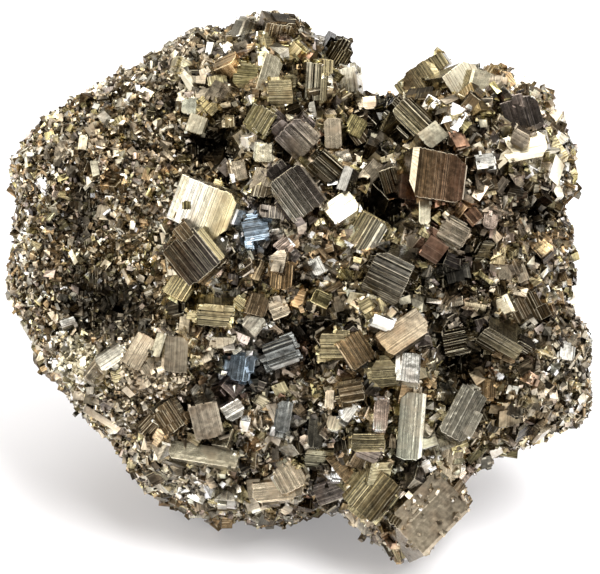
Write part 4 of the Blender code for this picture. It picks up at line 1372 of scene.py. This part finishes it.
@dataclass
class LargeCrystals:
    """The crystals of the front that can be told apart, each where it is seen."""

    lump: Lump
    grown: Grown
    seed: int = 5
    outgrown_from: float = 3.2
    outgrown_contrast: float = 0.4
    plain_contrast: float = 0.12

    def places(self) -> list[tuple[Crystal, np.ndarray, np.ndarray]]:
        """Each crystal with its middle and its rotation, both in the view's axes."""
        grid = self.lump.front_grid()
        seen_px, seen_py = self.lump.plane.pixel_of(grid)
        placed = []
        for crystal in CRYSTALS:
            nearest = np.argmin(np.hypot(seen_px - crystal.px, seen_py - crystal.py))
            near = grid[nearest, 2] + crystal.proud * MM
            turned = face_turn(crystal.grain, crystal.turn, crystal.tip)
            face = self.lump.plane.seen_at(crystal.px, crystal.py, near)
            middle = face - turned @ np.array((0.0, 0.0, crystal.deep * MM / 2))
            placed.append((crystal, middle, turned))
        return placed

    def add_crystal(
        self,
        parts: MeshParts,
        crystal: Crystal,
        middle: np.ndarray,
        turned: np.ndarray,
        rng: np.random.Generator,
    ) -> None:
        """Adds one crystal and the blocks that grow out of it.

        Args:
            parts: What they are added to.
            crystal: The crystal.
            middle: Its middle in the row frame.
            turned: Its rotation.
            rng: The random numbers.
        """
        # Painted light and shade: the sheen makes the crystal's tone, and the tone it blends to, lighter or
        # darker
        tone = shaded(toned(crystal.tone), crystal.sheen.value)
        if crystal.name in CRUSTED:
            tone[3] = self.plain_contrast
        size = min(crystal.along, crystal.across)
        fluting = self.fluting(tone, STRIPS.get(crystal.name, 0.26 + 0.03 * size) * MM, size)
        sides = np.array((crystal.across, crystal.along, crystal.deep)) * MM
        turning = BLENDS.get(crystal.name)
        blend = None
        if turning is not None:
            towards = np.array((turning.across, turning.along, 0.0))
            blend = (shaded(toned(turning.tone), crystal.sheen.value), towards)
        StriatedPrism(*sides, fluting).add_to(parts, middle, turned, tone, rng, blend)
        body = Body(middle, turned, sides, tone, crystal.name not in CRUSTED)
        self.grown.bodies.append(body)
        self.crust(parts, CRUSTED.get(crystal.name, 0), body, rng)
        for block in BLOCKS:
            if block.owner == crystal.name:
                spun = turned @ np.array(Matrix.Rotation(math.radians(block.spin), 3, "Z"))
                place = middle + turned @ (np.array(block.middle) * MM)
                own = self.fluting(toned(block.tone), 0.45 * MM, size)
                form = StriatedPrism(*(np.array(block.sides) * MM), own)
                form.add_to(parts, place, spun, toned(block.tone), rng)
        if size < self.outgrown_from or tone[3] < self.outgrown_contrast:
            return
        rough = replace(fluting, strip=max(fluting.strip, 0.6 * MM), ring_gap=3.0 * MM)
        count = int(rng.integers(2, 5))
        for place, block in zip(*outgrowths(sides, count, rng)):
            shade = shaded(tone, math.exp(rng.normal(0.0, 0.3)))
            own = Body(middle + turned @ place, turned, block, shade, True)
            StriatedPrism(*block, rough).add_to(parts, own.middle, turned, own.tone, rng)
            self.grown.bodies.append(own)

    def fluting(self, tone: np.ndarray, strip: float, size: float) -> Fluting:
        """The striations of a crystal: light lines on a dark one and dark lines on a light one.

        Args:
            tone: Its tone.
            strip: The mean width of a strip.
            size: Its shorter visible side in mm.

        Returns:
            The fluting.
        """
        level = float(lightness(tone))
        return Fluting(
            strip=strip,
            step=0.10 * MM * (0.2 + 0.8 * tone[3]) * min(1.0, size / 5.0),
            line=0.11 * MM,
            contrast=tone[3],
            ridges=ridge_share(level),
            painted_highlight=float(np.clip(0.36 / level, 1.15, 4.0)),
        )

    def crust(self, parts: MeshParts, count: int, body: Body, rng: np.random.Generator) -> None:
        """Sinks flat grains in a crystal's front and its upper and lower ends.

        Args:
            parts: What the grains are added to.
            count: How many.
            body: The crystal.
            rng: The random numbers.
        """
        if not count:
            return
        place = rng.uniform(-0.5, 0.5, (count, 3))
        axis = rng.choice((0, 1, 2, 2, 2), count)
        place[np.arange(count), axis] = np.where(axis == 2, 0.5, 0.5 * rng.choice((-1.0, 1.0), count))
        size = rng.uniform(0.25, 0.85, count) * MM
        grain = size[:, None] * np.exp(rng.normal(0.0, 0.3, (count, 3)))
        turns = random_turns(rng, count)
        world = (place * body.sides) @ body.turned.T + body.middle
        tones = shaded(np.tile(body.tone, (count, 1)), np.exp(rng.normal(0.0, 0.5, count)))
        box_batch(parts, world, turns, grain, tones, Chipping(0.18, shards=True), rng)

    def build(self, material: bpy.types.Material) -> list[bpy.types.Object]:
        """Makes every large crystal, as two pieces.

        Args:
            material: Their finish.

        Returns:
            The objects.
        """
        rng = np.random.default_rng(self.seed)
        plane = self.lump.plane
        made = []
        placed = self.places()
        half = len(placed) // 2
        for name, group in (("upper_crystals", placed[:half]), ("lower_crystals", placed[half:])):
            parts = MeshParts()
            for crystal, middle, turned in group:
                self.add_crystal(parts, crystal, plane.to_world(middle), plane.axes() @ turned, rng)
            made.append(parts.to_object(name, material))
        return made


def ridge_share(level: float) -> float:
    """How many of the lines on a crystal this light are ridges: most on a dark one, few on a light one."""
    return float(np.clip(1.1 - 2.4 * level, 0.1, 0.9))


@dataclass(frozen=True)
class Sowing:
    """A crop of small crystals: how many, how large in mm, of what tones and where.

    rooted is the share of them that stand in the mass with a face outwards, as deep as deep times their
    size; the others lie any way. sunk is how far the middle of one that lies is below the surface at
    the most, as a share of its size, and crowding makes small ones more common.
    """

    name: str
    seed: int
    count: int
    smallest: float
    largest: float
    tones: dict[Tone, float]
    zone: str
    chipping: Chipping = Chipping()
    rooted: float = 0.0
    deep: tuple[float, float] = (1.2, 2.0)
    sunk: float = 0.3
    flatness: float = 0.2
    fluted: bool = False
    crowding: float = 2.6


def crowded_share(px: np.ndarray, py: np.ndarray, near: np.ndarray) -> np.ndarray:
    """How far a place belongs to the front's crowded crystals: 1 there, 0 on the fine-grained flanks.

    Args:
        px: Pixels from the left.
        py: Pixels from the top.
        near: How far each direction looks towards the viewpoint, up to 1.

    Returns:
        The shares.
    """
    left_edge = 188.0 - 34.0 * smooth_step((py - 300.0) / 100.0)
    left = smooth_step((px - left_edge + 18.0) / 36.0)
    right = smooth_step((566.0 - px) / 30.0)
    top = smooth_step((py - 30.0 + 0.25 * (px - 260.0)) / 20.0)
    return left * right * np.maximum(top, smooth_step((px - 300.0) / 30.0)) * smooth_step(near / 0.2)


@dataclass
class Druse:
    """The small crystals and grains that cover the mass between the large crystals.

    most_at_rim is the largest size in mm where the mass turns away from the viewpoint. standing is how
    far rooted crystals stand out as a share of their size, and hollow_drop how much deeper the
    blackest hollows' crystals lie.
    """

    lump: Lump
    kept_clear: list[tuple[Crystal, np.ndarray, np.ndarray]]
    grown: Grown
    room: tuple[np.ndarray, np.ndarray]
    most_at_rim: float = 1.3
    tilt: float = 0.36
    spread: float = 0.31
    standing: tuple[float, float] = (0.1, 0.85)
    highest_lying: float = 0.25
    hollow_drop: float = 0.8 * MM
    finest: Fluting = Fluting(
        strip=0.85 * MM, step=0.08 * MM, line=0.09 * MM, blunt=0.3, ring_gap=9.0 * MM, lean=0.08, glow=0.4
    )

    def candidates(self, sowing: Sowing, rng: np.random.Generator) -> tuple[np.ndarray, np.ndarray]:
        """Places drawn evenly over the lump's surface, kept by the sowing's zone.

        Args:
            sowing: The crop.
            rng: The random numbers.

        Returns:
            (n, 3) directions and (n,) reaches.
        """
        ways = rng.normal(size=(sowing.count * 16, 3))
        ways = ways / np.linalg.norm(ways, axis=1, keepdims=True)
        reach = self.lump.rough_reach(ways)
        px, py = self.lump.plane.pixel_of(ways * reach[:, None])
        crowded = crowded_share(px, py, ways[:, 2])
        front = smooth_step((ways[:, 2] + 0.25) / 0.2)
        left = smooth_step((320.0 - px) / 20.0)
        zones = {
            "upper crowd": crowded * (py < 270.0),
            "lower crowd": crowded * (py >= 270.0),
            "crowd": crowded,
            "left flank": (1.0 - crowded) * front * left,
            "right flank": (1.0 - crowded) * front * (1.0 - left),
            "flanks": (1.0 - crowded) * front,
            "back": 1.0 - front,
        }
        chance = zones[sowing.zone] * (reach / (56.0 * MM)) ** 2
        kept = rng.uniform(size=len(ways)) < chance
        return ways[kept][: sowing.count], reach[kept][: sowing.count]

    def clear(self, points: np.ndarray, sides: np.ndarray) -> np.ndarray:
        """Which places neither hide much of a large crystal's face nor lie inside it.

        Args:
            points: (n, 3) middles in the view's axes.
            sides: (n,) sizes.

        Returns:
            (n,) truth values.
        """
        kept = np.ones(len(points), bool)
        for crystal, middle, turned in self.kept_clear:
            local = (points - middle) @ turned
            over = np.where(local[:, 2] > crystal.deep * MM / 2 - 0.2 * sides, -0.22, -0.30) * sides
            aside = np.abs(local[:, 0]) < crystal.across * MM / 2 + over
            along = np.abs(local[:, 1]) < crystal.along * MM / 2 + over
            ahead = local[:, 2] > -crystal.deep * MM / 2
            kept &= ~(aside & along & ahead)
        return kept

    def sow(self, sowing: Sowing, material: bpy.types.Material) -> bpy.types.Object:
        """Makes one crop.

        Args:
            sowing: The crop.
            material: Its finish.

        Returns:
            The object.
        """
        rng = np.random.default_rng(sowing.seed)
        ways, reach = self.candidates(sowing, rng)
        count = len(ways)
        share = rng.beta(1.0, sowing.crowding, count)
        size = sowing.smallest + (sowing.largest - sowing.smallest) * share
        rim = smooth_step(np.abs(ways[:, 2]) / 0.4)
        size = np.minimum(size, self.most_at_rim + 5.0 * rim) * MM
        shade = self.lump.hollow_shade(ways * reach[:, None])
        sides = size[:, None] * np.exp(rng.normal(0.0, sowing.flatness, (count, 3)))
        rooted = rng.uniform(size=count) < sowing.rooted
        sides[rooted, 2] = (size * rng.uniform(*sowing.deep, count))[rooted]
        outward = outward_turns(rng, ways, self.tilt)
        turns = np.where(rooted[:, None, None], outward, random_turns(rng, count))
        turns = self.lump.plane.axes() @ turns
        lying = rng.uniform(-sowing.sunk, self.highest_lying, count) * size
        tops = rng.uniform(*self.standing, count) * size * (0.3 + 0.7 * rim)
        out = np.where(rooted, tops - sides[:, 2] / 2, lying) - (1.0 - shade) * self.hollow_drop
        points = ways * (reach + out)[:, None]
        middles = self.lump.plane.to_world(points)
        spans = (np.abs(turns) * sides[:, None, :]).sum(axis=2) * (0.5 + sowing.chipping.uneven)
        kept = self.clear(points, size) & (middles[:, 2] > spans[:, 2] + 0.02 * MM)
        kept &= ((middles - spans > self.room[0]) & (middles + spans < self.room[1]))[:, :2].all(axis=1)
        tones = mixed_tones(rng, count, sowing.tones, self.spread)
        # Painted shade: grains that lie deeper are darker, and those in the front's hollows darker still
        low = np.clip(1.0 + 1.3 * lying / size, 0.55, 1.25)
        tones = shaded(self.lump.tinted(points, tones), low * (0.06 + 0.94 * shade**1.3))
        parts = MeshParts()
        if sowing.fluted:
            for k in np.flatnonzero(kept):
                level = float(lightness(tones[k]))
                # The painted highlight on its ridges and edges, stronger on darker grains
                clean = float(np.clip(0.30 / max(level, 0.01), 1.1, 3.0))
                own = replace(
                    self.finest, contrast=tones[k, 3], ridges=ridge_share(level), painted_highlight=clean
                )
                StriatedPrism(*sides[k], own).add_to(parts, middles[k], turns[k], tones[k], rng)
                self.grown.bodies.append(Body(middles[k], turns[k], sides[k], tones[k], False))
        else:
            chosen = (middles[kept], turns[kept], sides[kept], tones[kept])
            box_batch(parts, *chosen, sowing.chipping, rng)
        return parts.to_object(sowing.name, material)


COMMON = {
    Tone.TAN: 30,
    Tone.BROWN: 20,
    Tone.CREAM: 8,
    Tone.WHITE: 3,
    Tone.STEEL: 13,
    Tone.OLIVE: 9,
    Tone.GOLD: 8,
    Tone.DARK: 9,
    Tone.VIOLET: 4,
    Tone.ROSE: 4,
    Tone.RUST: 1,
}
FINE = {
    Tone.TAN: 34,
    Tone.BROWN: 22,
    Tone.CREAM: 6,
    Tone.WHITE: 3,
    Tone.STEEL: 15,
    Tone.OLIVE: 8,
    Tone.GOLD: 4,
    Tone.DARK: 9,
    Tone.VIOLET: 4,
    Tone.ROSE: 3,
}

BROKEN = Chipping(uneven=0.18, face_spread=0.35, shards=True)
SOWINGS = (
    Sowing("upper_druse", 101, 640, 1.3, 4.4, COMMON, "upper crowd", rooted=0.7, fluted=True, crowding=2.8),
    Sowing("lower_druse", 111, 640, 1.3, 4.4, COMMON, "lower crowd", rooted=0.7, fluted=True, crowding=2.8),
    Sowing("druse_cubes", 102, 13000, 0.45, 2.2, COMMON, "crowd", BROKEN, 0.4, (1.0, 2.0), flatness=0.35),
    Sowing("left_grains", 103, 16800, 0.38, 1.25, FINE, "left flank", BROKEN, sunk=0.4, flatness=0.48),
    Sowing("right_grains", 113, 6000, 0.45, 1.4, FINE, "right flank", BROKEN, sunk=0.35, flatness=0.42),
    Sowing("flank_crystals", 104, 300, 1.1, 2.6, FINE, "flanks", rooted=0.5, fluted=True),
    Sowing("back_grains", 105, 7000, 0.8, 2.5, FINE, "back", BROKEN, 0.3, sunk=0.35, flatness=0.35),
    Sowing("back_crystals", 106, 200, 2.0, 5.5, COMMON, "back", rooted=0.6, fluted=True),
)


def new_group(
    name: str, inputs: dict[str, tuple[str, object]], outputs: dict[str, str]
) -> bpy.types.NodeTree:
    """An empty shader node group with named sockets.

    Args:
        name: The group's name.
        inputs: Each input's name with its socket type and default.
        outputs: Each output's name with its socket type.

    Returns:
        The group, with its input and output nodes.
    """
    group = bpy.data.node_groups.new(name, "ShaderNodeTree")
    for label, (kind, default) in inputs.items():
        socket = group.interface.new_socket(label, in_out="INPUT", socket_type=kind)
        if default is not None:
            socket.default_value = default
    for label, kind in outputs.items():
        group.interface.new_socket(label, in_out="OUTPUT", socket_type=kind)
    group.nodes.new("NodeGroupInput").name = "In"
    group.nodes.new("NodeGroupOutput").name = "Out"
    return group


def feed(
    tree: bpy.types.NodeTree, node: bpy.types.Node, values: dict[str | int, object]
) -> bpy.types.Node:
    """Links or sets a node's inputs.

    Args:
        tree: The node's tree.
        node: The node.
        values: A socket or a plain value for each input, by its name or number.

    Returns:
        The same node.
    """
    for label, value in values.items():
        if isinstance(value, bpy.types.NodeSocket):
            tree.links.new(value, node.inputs[label])
        else:
            node.inputs[label].default_value = value
    return node


def group_node(
    tree: bpy.types.NodeTree, group: bpy.types.NodeTree, values: dict[str | int, object]
) -> bpy.types.Node:
    """A node that holds a group.

    Args:
        tree: Where the node goes.
        group: The group.
        values: A socket or a plain value for each of its inputs.

    Returns:
        The node.
    """
    node = tree.nodes.new("ShaderNodeGroup")
    node.node_tree = group
    return feed(tree, node, values)


def math_node(
    tree: bpy.types.NodeTree, operation: str, first: object, second: object
) -> bpy.types.NodeSocket:
    """A Math node on sockets or numbers.

    Args:
        tree: Where the node goes.
        operation: The node's operation.
        first: A socket or a number.
        second: A socket or a number.

    Returns:
        The node's output.
    """
    node = tree.nodes.new("ShaderNodeMath")
    node.operation = operation
    return feed(tree, node, {0: first, 1: second}).outputs[0]


def noise_node(
    tree: bpy.types.NodeTree, place: bpy.types.NodeSocket, scale: float, detail: float
) -> bpy.types.NodeSocket:
    """A Noise Texture node at a place.

    Args:
        tree: Where the node goes.
        place: What its vector is linked to.
        scale: Its scale, per metre.
        detail: Its detail.

    Returns:
        The node's output.
    """
    node = tree.nodes.new("ShaderNodeTexNoise")
    return feed(tree, node, {"Vector": place, "Scale": scale, "Detail": detail}).outputs["Fac"]


def range_node(
    tree: bpy.types.NodeTree,
    value: bpy.types.NodeSocket,
    taken: tuple[float, float],
    given: tuple[float, float] = (0.0, 1.0),
) -> bpy.types.NodeSocket:
    """A Map Range node, clamped.

    Args:
        tree: Where the node goes.
        value: What is mapped.
        taken: The values mapped from.
        given: The values mapped to.

    Returns:
        The node's output.
    """
    node = tree.nodes.new("ShaderNodeMapRange")
    labels = ("Value", "From Min", "From Max", "To Min", "To Max")
    return feed(tree, node, dict(zip(labels, (value, *taken, *given)))).outputs["Result"]


def mix_node(
    tree: bpy.types.NodeTree, kind: str, share: object, first: object, second: object
) -> bpy.types.NodeSocket:
    """A Mix node on colours.

    Args:
        tree: Where the node goes.
        kind: How it blends them.
        share: How much of the second colour it takes.
        first: A socket or a colour.
        second: A socket or a colour.

    Returns:
        The node's output.
    """
    node = tree.nodes.new("ShaderNodeMix")
    node.data_type = "RGBA"
    node.blend_type = kind
    return feed(tree, node, {"Factor": share, 6: first, 7: second}).outputs[2]


def striation_group() -> bpy.types.NodeTree:
    """Fine straight striations across a face, that fade in and out along it.

    Place is across, along and seed. Lines is from 0 to 1, from noise of one number: across, bent a
    little by broad noise. Ridges is 1 on the narrow crests that get a painted highlight. Cell is a
    number from 0 to 1 that belongs to the seed.
    """
    inputs = {
        "Place": ("NodeSocketVector", None),
        "Fineness": ("NodeSocketFloat", 3400.0),
        "Contrast": ("NodeSocketFloat", 3.4),
    }
    group = new_group("striations", inputs, dict.fromkeys(("Lines", "Ridges", "Cell"), "NodeSocketFloat"))
    nodes = group.nodes
    taken = nodes["In"].outputs
    parts = feed(group, nodes.new("ShaderNodeSeparateXYZ"), {0: taken["Place"]}).outputs
    broad = noise_node(group, taken["Place"], 300.0, 1.0)
    across = math_node(group, "MULTIPLY", parts["X"], taken["Fineness"])
    bent = math_node(group, "ADD", across, broad)
    shifted = math_node(group, "MULTIPLY", parts["Z"], 17.0)
    place = math_node(group, "ADD", bent, shifted)
    noise = nodes.new("ShaderNodeTexNoise")
    noise.noise_dimensions = "1D"
    feed(group, noise, {"W": place, "Scale": 1.0, "Detail": 2.0, "Roughness": 0.6})
    fine = noise.outputs["Fac"]
    strength = math_node(group, "MULTIPLY", broad, taken["Contrast"])
    centred = math_node(group, "SUBTRACT", fine, 0.5)
    sharp = math_node(group, "MULTIPLY", centred, math_node(group, "MULTIPLY", strength, 2.0))
    lines = math_node(group, "ADD", sharp, 0.5)
    lines.node.use_clamp = True
    crest = range_node(group, fine, (0.58, 0.68))
    ridges = math_node(group, "MULTIPLY", crest, range_node(group, broad, (0.35, 0.6)))
    cell = nodes.new("ShaderNodeTexWhiteNoise")
    cell.noise_dimensions = "1D"
    feed(group, cell, {"W": parts["Z"]})
    feed(group, nodes["Out"], {"Lines": lines, "Ridges": ridges, "Cell": cell.outputs["Value"]})
    return group


def tarnish_group() -> bpy.types.NodeTree:
    """Patches where the metal has browned, and mottling, a painted reflection of a surface that isn't quite
    flat.
    """
    inputs = {
        "Colour": ("NodeSocketColor", (0.5, 0.4, 0.3, 1.0)),
        "Place": ("NodeSocketVector", None),
        "Amount": ("NodeSocketFloat", 0.5),
    }
    outputs = {"Colour": "NodeSocketColor", "Mask": "NodeSocketFloat", "Mottling": "NodeSocketFloat"}
    group = new_group("tarnish", inputs, outputs)
    taken = group.nodes["In"].outputs
    patches = noise_node(group, taken["Place"], 420.0, 4.0)
    amount = math_node(group, "MULTIPLY", range_node(group, patches, (0.48, 0.68)), taken["Amount"])
    browned = mix_node(group, "MULTIPLY", amount, taken["Colour"], (*BROWNING, 1.0))
    mottling = range_node(group, noise_node(group, taken["Place"], 1300.0, 4.0), (0.33, 0.67))
    feed(group, group.nodes["Out"], {"Colour": browned, "Mask": amount, "Mottling": mottling})
    return group


def relief_group() -> bpy.types.NodeTree:
    """The height of a surface in mm: striations, fine pits and broad waves, each with its own height."""
    heights = {"Lines": 0.0, "Line Height": 0.02, "Pit Height": 0.01, "Wave Height": 0.05}
    inputs = {label: ("NodeSocketFloat", height) for label, height in heights.items()}
    inputs["Place"] = ("NodeSocketVector", None)
    group = new_group("relief", inputs, {"Height": "NodeSocketFloat"})
    taken = group.nodes["In"].outputs
    height = math_node(group, "MULTIPLY", taken["Lines"], taken["Line Height"])
    for label, scale, detail in (("Pit Height", 5000.0, 3.0), ("Wave Height", 750.0, 1.0)):
        noise = noise_node(group, taken["Place"], scale, detail)
        height = math_node(group, "ADD", height, math_node(group, "MULTIPLY", noise, taken[label]))
    feed(group, group.nodes["Out"], {"Height": height})
    return group


@dataclass(frozen=True)
class PyriteFinish:
    """Pyrite's metallic lustre, over the tones and striation places that a mesh carries.

    The heights are in mm. Light metal is less mottled than dark: between the lightnesses light_metal
    the mottling falls to even_share.
    """

    name: str
    smooth_roughness: float = 0.14
    dull_roughness: float = 0.40
    line_height: float = 0.020
    line_contrast: float = 3.4
    line_light: tuple[float, float] = (0.5, 1.25)
    pit_height: float = 0.010
    wave_height: float = 0.09
    tarnish: float = 0.5
    mottling: tuple[float, float] = (0.62, 1.38)
    light_metal: tuple[float, float] = (0.2, 0.55)
    even_share: float = 0.2
    highlight_share: float = 0.4
    cell_dullness: float = 0.6

    def build(self, groups: dict[str, bpy.types.NodeTree]) -> bpy.types.Material:
        """Makes the material.

        Args:
            groups: The shared node groups by name.

        Returns:
            The material.
        """
        material = bpy.data.materials.new(self.name)
        material.use_nodes = True
        tree = material.node_tree
        nodes = tree.nodes
        tone, place = nodes.new("ShaderNodeAttribute"), nodes.new("ShaderNodeAttribute")
        tone.attribute_name, place.attribute_name = "tone", "place"
        colour, strength = tone.outputs["Color"], tone.outputs["Alpha"]
        where = nodes.new("ShaderNodeTexCoord").outputs["Object"]
        contrast = math_node(tree, "MULTIPLY", strength, self.line_contrast)
        inputs = {"Place": place.outputs["Vector"], "Contrast": contrast}
        striations = group_node(tree, groups["striations"], inputs).outputs
        inputs = {"Colour": colour, "Place": where, "Amount": self.tarnish}
        tarnish = group_node(tree, groups["tarnish"], inputs).outputs

        lines = range_node(tree, striations["Lines"], (0.0, 1.0), self.line_light)
        # Painted reflection: the colour mottled lighter and darker, less on light metal
        mottled = range_node(tree, tarnish["Mottling"], (0.0, 1.0), self.mottling)
        level = feed(tree, nodes.new("ShaderNodeRGBToBW"), {"Color": colour}).outputs["Val"]
        uneven = range_node(tree, level, self.light_metal, (1.0, self.even_share))
        mottled = math_node(tree, "MULTIPLY", math_node(tree, "SUBTRACT", mottled, 1.0), uneven)
        mottled = math_node(tree, "ADD", mottled, 1.0)
        light = nodes.new("ShaderNodeVectorMath")
        light.operation = "SCALE"
        feed(tree, light, {0: tarnish["Colour"], "Scale": math_node(tree, "MULTIPLY", lines, mottled)})
        # Painted highlight: the ridges drawn towards a pale metal colour
        share = math_node(tree, "MULTIPLY", striations["Ridges"], strength)
        share = math_node(tree, "MULTIPLY", share, self.highlight_share)
        base = mix_node(tree, "MIX", share, light.outputs[0], (*HIGHLIGHT_METAL, 1.0))

        dullness = math_node(tree, "MULTIPLY", striations["Cell"], self.cell_dullness)
        dullness = math_node(tree, "ADD", dullness, tarnish["Mask"])
        rough = range_node(tree, dullness, (0.0, 1.0), (self.smooth_roughness, self.dull_roughness))

        inputs = {
            "Place": where,
            "Lines": striations["Lines"],
            "Line Height": self.line_height,
            "Pit Height": self.pit_height,
            "Wave Height": self.wave_height,
        }
        height = group_node(tree, groups["relief"], inputs).outputs["Height"]
        inputs = {"Strength": 1.0, "Distance": MM, "Height": height}
        bump = feed(tree, nodes.new("ShaderNodeBump"), inputs).outputs["Normal"]
        inputs = {"Metallic": 1.0, "Base Color": base, "Roughness": rough, "Normal": bump}
        feed(tree, nodes["Principled BSDF"], inputs)
        return material


@dataclass(frozen=True)
class SoftLight:
    """A square light that points at the lump: where it stands, its side and its power in watts.

    One for the floor only isn't mirrored in the metal.
    """

    name: str
    place: tuple[float, float, float]
    side: float
    power: float
    colour: tuple[float, float, float] = (1.0, 1.0, 1.0)
    floor_only: bool = False


@dataclass
class Studio:
    """A pale floor, soft lights, a pale surround and the camera.

    The surround's colour turns from low_colour below to high_colour above, and its strength changes
    from left to right. Within lens_reach of the viewpoint, as a cosine, it is dimmed by lens_gloom, and
    floor_share of it lights what isn't metal.
    """

    plane: ViewPlane
    floor_side: float = 8.0
    lights: tuple[SoftLight, ...] = (
        SoftLight("overhead", (0.15, 0.05, 0.95), 1.30, 14.2),
        SoftLight("left_window", (-0.90, -0.30, 0.50), 1.00, 6.2, (1.0, 0.98, 0.95)),
        SoftLight("right_fill", (0.85, -0.40, 0.35), 0.80, 2.5, (0.97, 0.97, 1.0)),
        SoftLight("low_card", (-0.50, -0.95, 0.10), 0.80, 1.6),
        SoftLight("floor_light", (0.33, -0.62, 0.88), 0.45, 17.0, floor_only=True),
    )
    low_colour: tuple[float, float, float, float] = (0.25, 0.232, 0.20, 1.0)
    high_colour: tuple[float, float, float, float] = (1.10, 1.06, 0.98, 1.0)
    bright_above: float = 0.6
    lens_reach: tuple[float, float] = (0.78, 0.98)
    lens_gloom: float = 0.65
    left_to_right: tuple[float, float] = (1.15, 0.55)
    floor_share: float = 0.3
    floor_colour: tuple[float, float, float, float] = (0.60, 0.592, 0.60, 1.0)
    floor_glow: float = 0.30
    view_width: int = 600

    def floor(self) -> None:
        """The floor, just under the lump."""
        half = self.floor_side / 2
        mesh = bpy.data.meshes.new("floor")
        corners = ((-half, -half, 0.0), (half, -half, 0.0), (half, half, 0.0), (-half, half, 0.0))
        mesh.from_pydata(corners, [], [(0, 1, 2, 3)])
        material = bpy.data.materials.new("floor")
        material.use_nodes = True
        inputs = {
            "Base Color": self.floor_colour,
            "Roughness": 0.9,
            "Emission Color": (1.0, 0.98, 0.985, 1.0),
            "Emission Strength": self.floor_glow,
        }
        feed(material.node_tree, material.node_tree.nodes["Principled BSDF"], inputs)
        mesh.materials.append(material)
        new_object("floor", mesh)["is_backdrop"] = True

    def light(self) -> None:
        """The soft lights, each turned to the lump's middle."""
        middle = np.array((0.0, -self.plane.forward, self.plane.height))
        for soft in self.lights:
            data = bpy.data.lights.new(soft.name, "AREA")
            data.size = soft.side
            data.energy = soft.power
            data.color = soft.colour
            made = new_object(soft.name, data)
            made.location = soft.place
            made.visible_glossy = not soft.floor_only
            towards = middle - np.array(soft.place)
            away = -towards / np.linalg.norm(towards)
            side = np.cross((0.0, 0.0, 1.0), away)
            side = side / np.linalg.norm(side)
            turned = Matrix(np.array((side, np.cross(away, side), away)).T.tolist())
            made.rotation_euler = turned.to_euler()

    def surround(self) -> None:
        """White to the camera, and to everything else bright above and dim round about."""
        world = bpy.data.worlds.new("surround")
        bpy.context.scene.world = world
        world.use_nodes = True
        tree = world.node_tree
        nodes = tree.nodes
        seen = feed(tree, nodes["Background"], {"Color": (1.0, 1.0, 1.0, 1.0), "Strength": 1.0})
        way = nodes.new("ShaderNodeTexCoord").outputs["Generated"]
        parts = feed(tree, nodes.new("ShaderNodeSeparateXYZ"), {0: way}).outputs
        ramp = feed(tree, nodes.new("ShaderNodeValToRGB"), {"Fac": parts["Z"]})
        low, high = ramp.color_ramp.elements
        low.position, high.position = 0.0, self.bright_above
        low.color, high.color = self.low_colour, self.high_colour
        towards = nodes.new("ShaderNodeVectorMath")
        towards.operation = "DOT_PRODUCT"
        feed(tree, towards, {0: way, 1: self.plane.axes()[:, 2]})
        gloom = range_node(tree, towards.outputs["Value"], self.lens_reach, (1.0, 1.0 - self.lens_gloom))
        gloom.node.interpolation_type = "SMOOTHSTEP"
        side = range_node(tree, parts["X"], (-0.9, 0.9), self.left_to_right)
        path = nodes.new("ShaderNodeLightPath").outputs
        on_floor = range_node(tree, path["Is Diffuse Ray"], (0.0, 1.0), (1.0, self.floor_share))
        strength = math_node(tree, "MULTIPLY", math_node(tree, "MULTIPLY", gloom, side), on_floor)
        inputs = {"Color": ramp.outputs["Color"], "Strength": strength}
        around = feed(tree, nodes.new("ShaderNodeBackground"), inputs)
        inputs = {"Fac": path["Is Camera Ray"], 1: around.outputs[0], 2: seen.outputs[0]}
        mixed = feed(tree, nodes.new("ShaderNodeMixShader"), inputs)
        feed(tree, nodes["World Output"], {"Surface": mixed.outputs[0]})

    def camera(self) -> None:
        """The camera at the viewpoint, whose frame is view_width of the view's pixels wide."""
        data = bpy.data.cameras.new("viewpoint")
        data.sensor_width = 36.0
        data.lens = data.sensor_width * self.plane.distance / (self.view_width * self.plane.pixel)
        data.clip_start = 0.01
        data.clip_end = 30.0
        made = new_object("viewpoint", data)
        made.location = self.plane.to_world(np.array((0.0, 0.0, self.plane.distance)))
        made.rotation_euler = Matrix(self.plane.axes().tolist()).to_euler()
        bpy.context.scene.camera = made

    def build(self) -> None:
        """Sets the whole stage."""
        self.floor()
        self.light()
        self.surround()
        self.camera()
        bpy.context.scene.view_settings.view_transform = "Standard"


def main() -> None:
    """Builds the lump's pieces in order, dresses them and sets the stage."""
    logging.basicConfig(level=logging.INFO, format="%(name)s: %(message)s")
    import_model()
    cad_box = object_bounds()
    lump = Lump()
    groups = {
        "striations": striation_group(),
        "tarnish": tarnish_group(),
        "relief": relief_group(),
    }
    crystal_finish = PyriteFinish("crystal_pyrite").build(groups)
    massive_finish = PyriteFinish(
        "massive_pyrite", smooth_roughness=0.28, dull_roughness=0.6, line_height=0.0, pit_height=0.05
    ).build(groups)
    MassivePyrite(lump).build(massive_finish)
    grown = Grown()
    large = LargeCrystals(lump, grown)
    large.build(crystal_finish)
    druse = Druse(lump, large.places(), grown, (np.array(cad_box[0]), np.array(cad_box[1])))
    for sowing in SOWINGS:
        druse.sow(sowing, crystal_finish)
    steps, studs = MeshParts(), MeshParts()
    grown.terrace(steps, 3, np.random.default_rng(78))
    steps.to_object("terraces", crystal_finish)
    grown.stud(studs, 6, np.random.default_rng(77))
    studs.to_object("studs", crystal_finish)
    Studio(lump.plane).build()


if __name__ == "__main__":
    main()
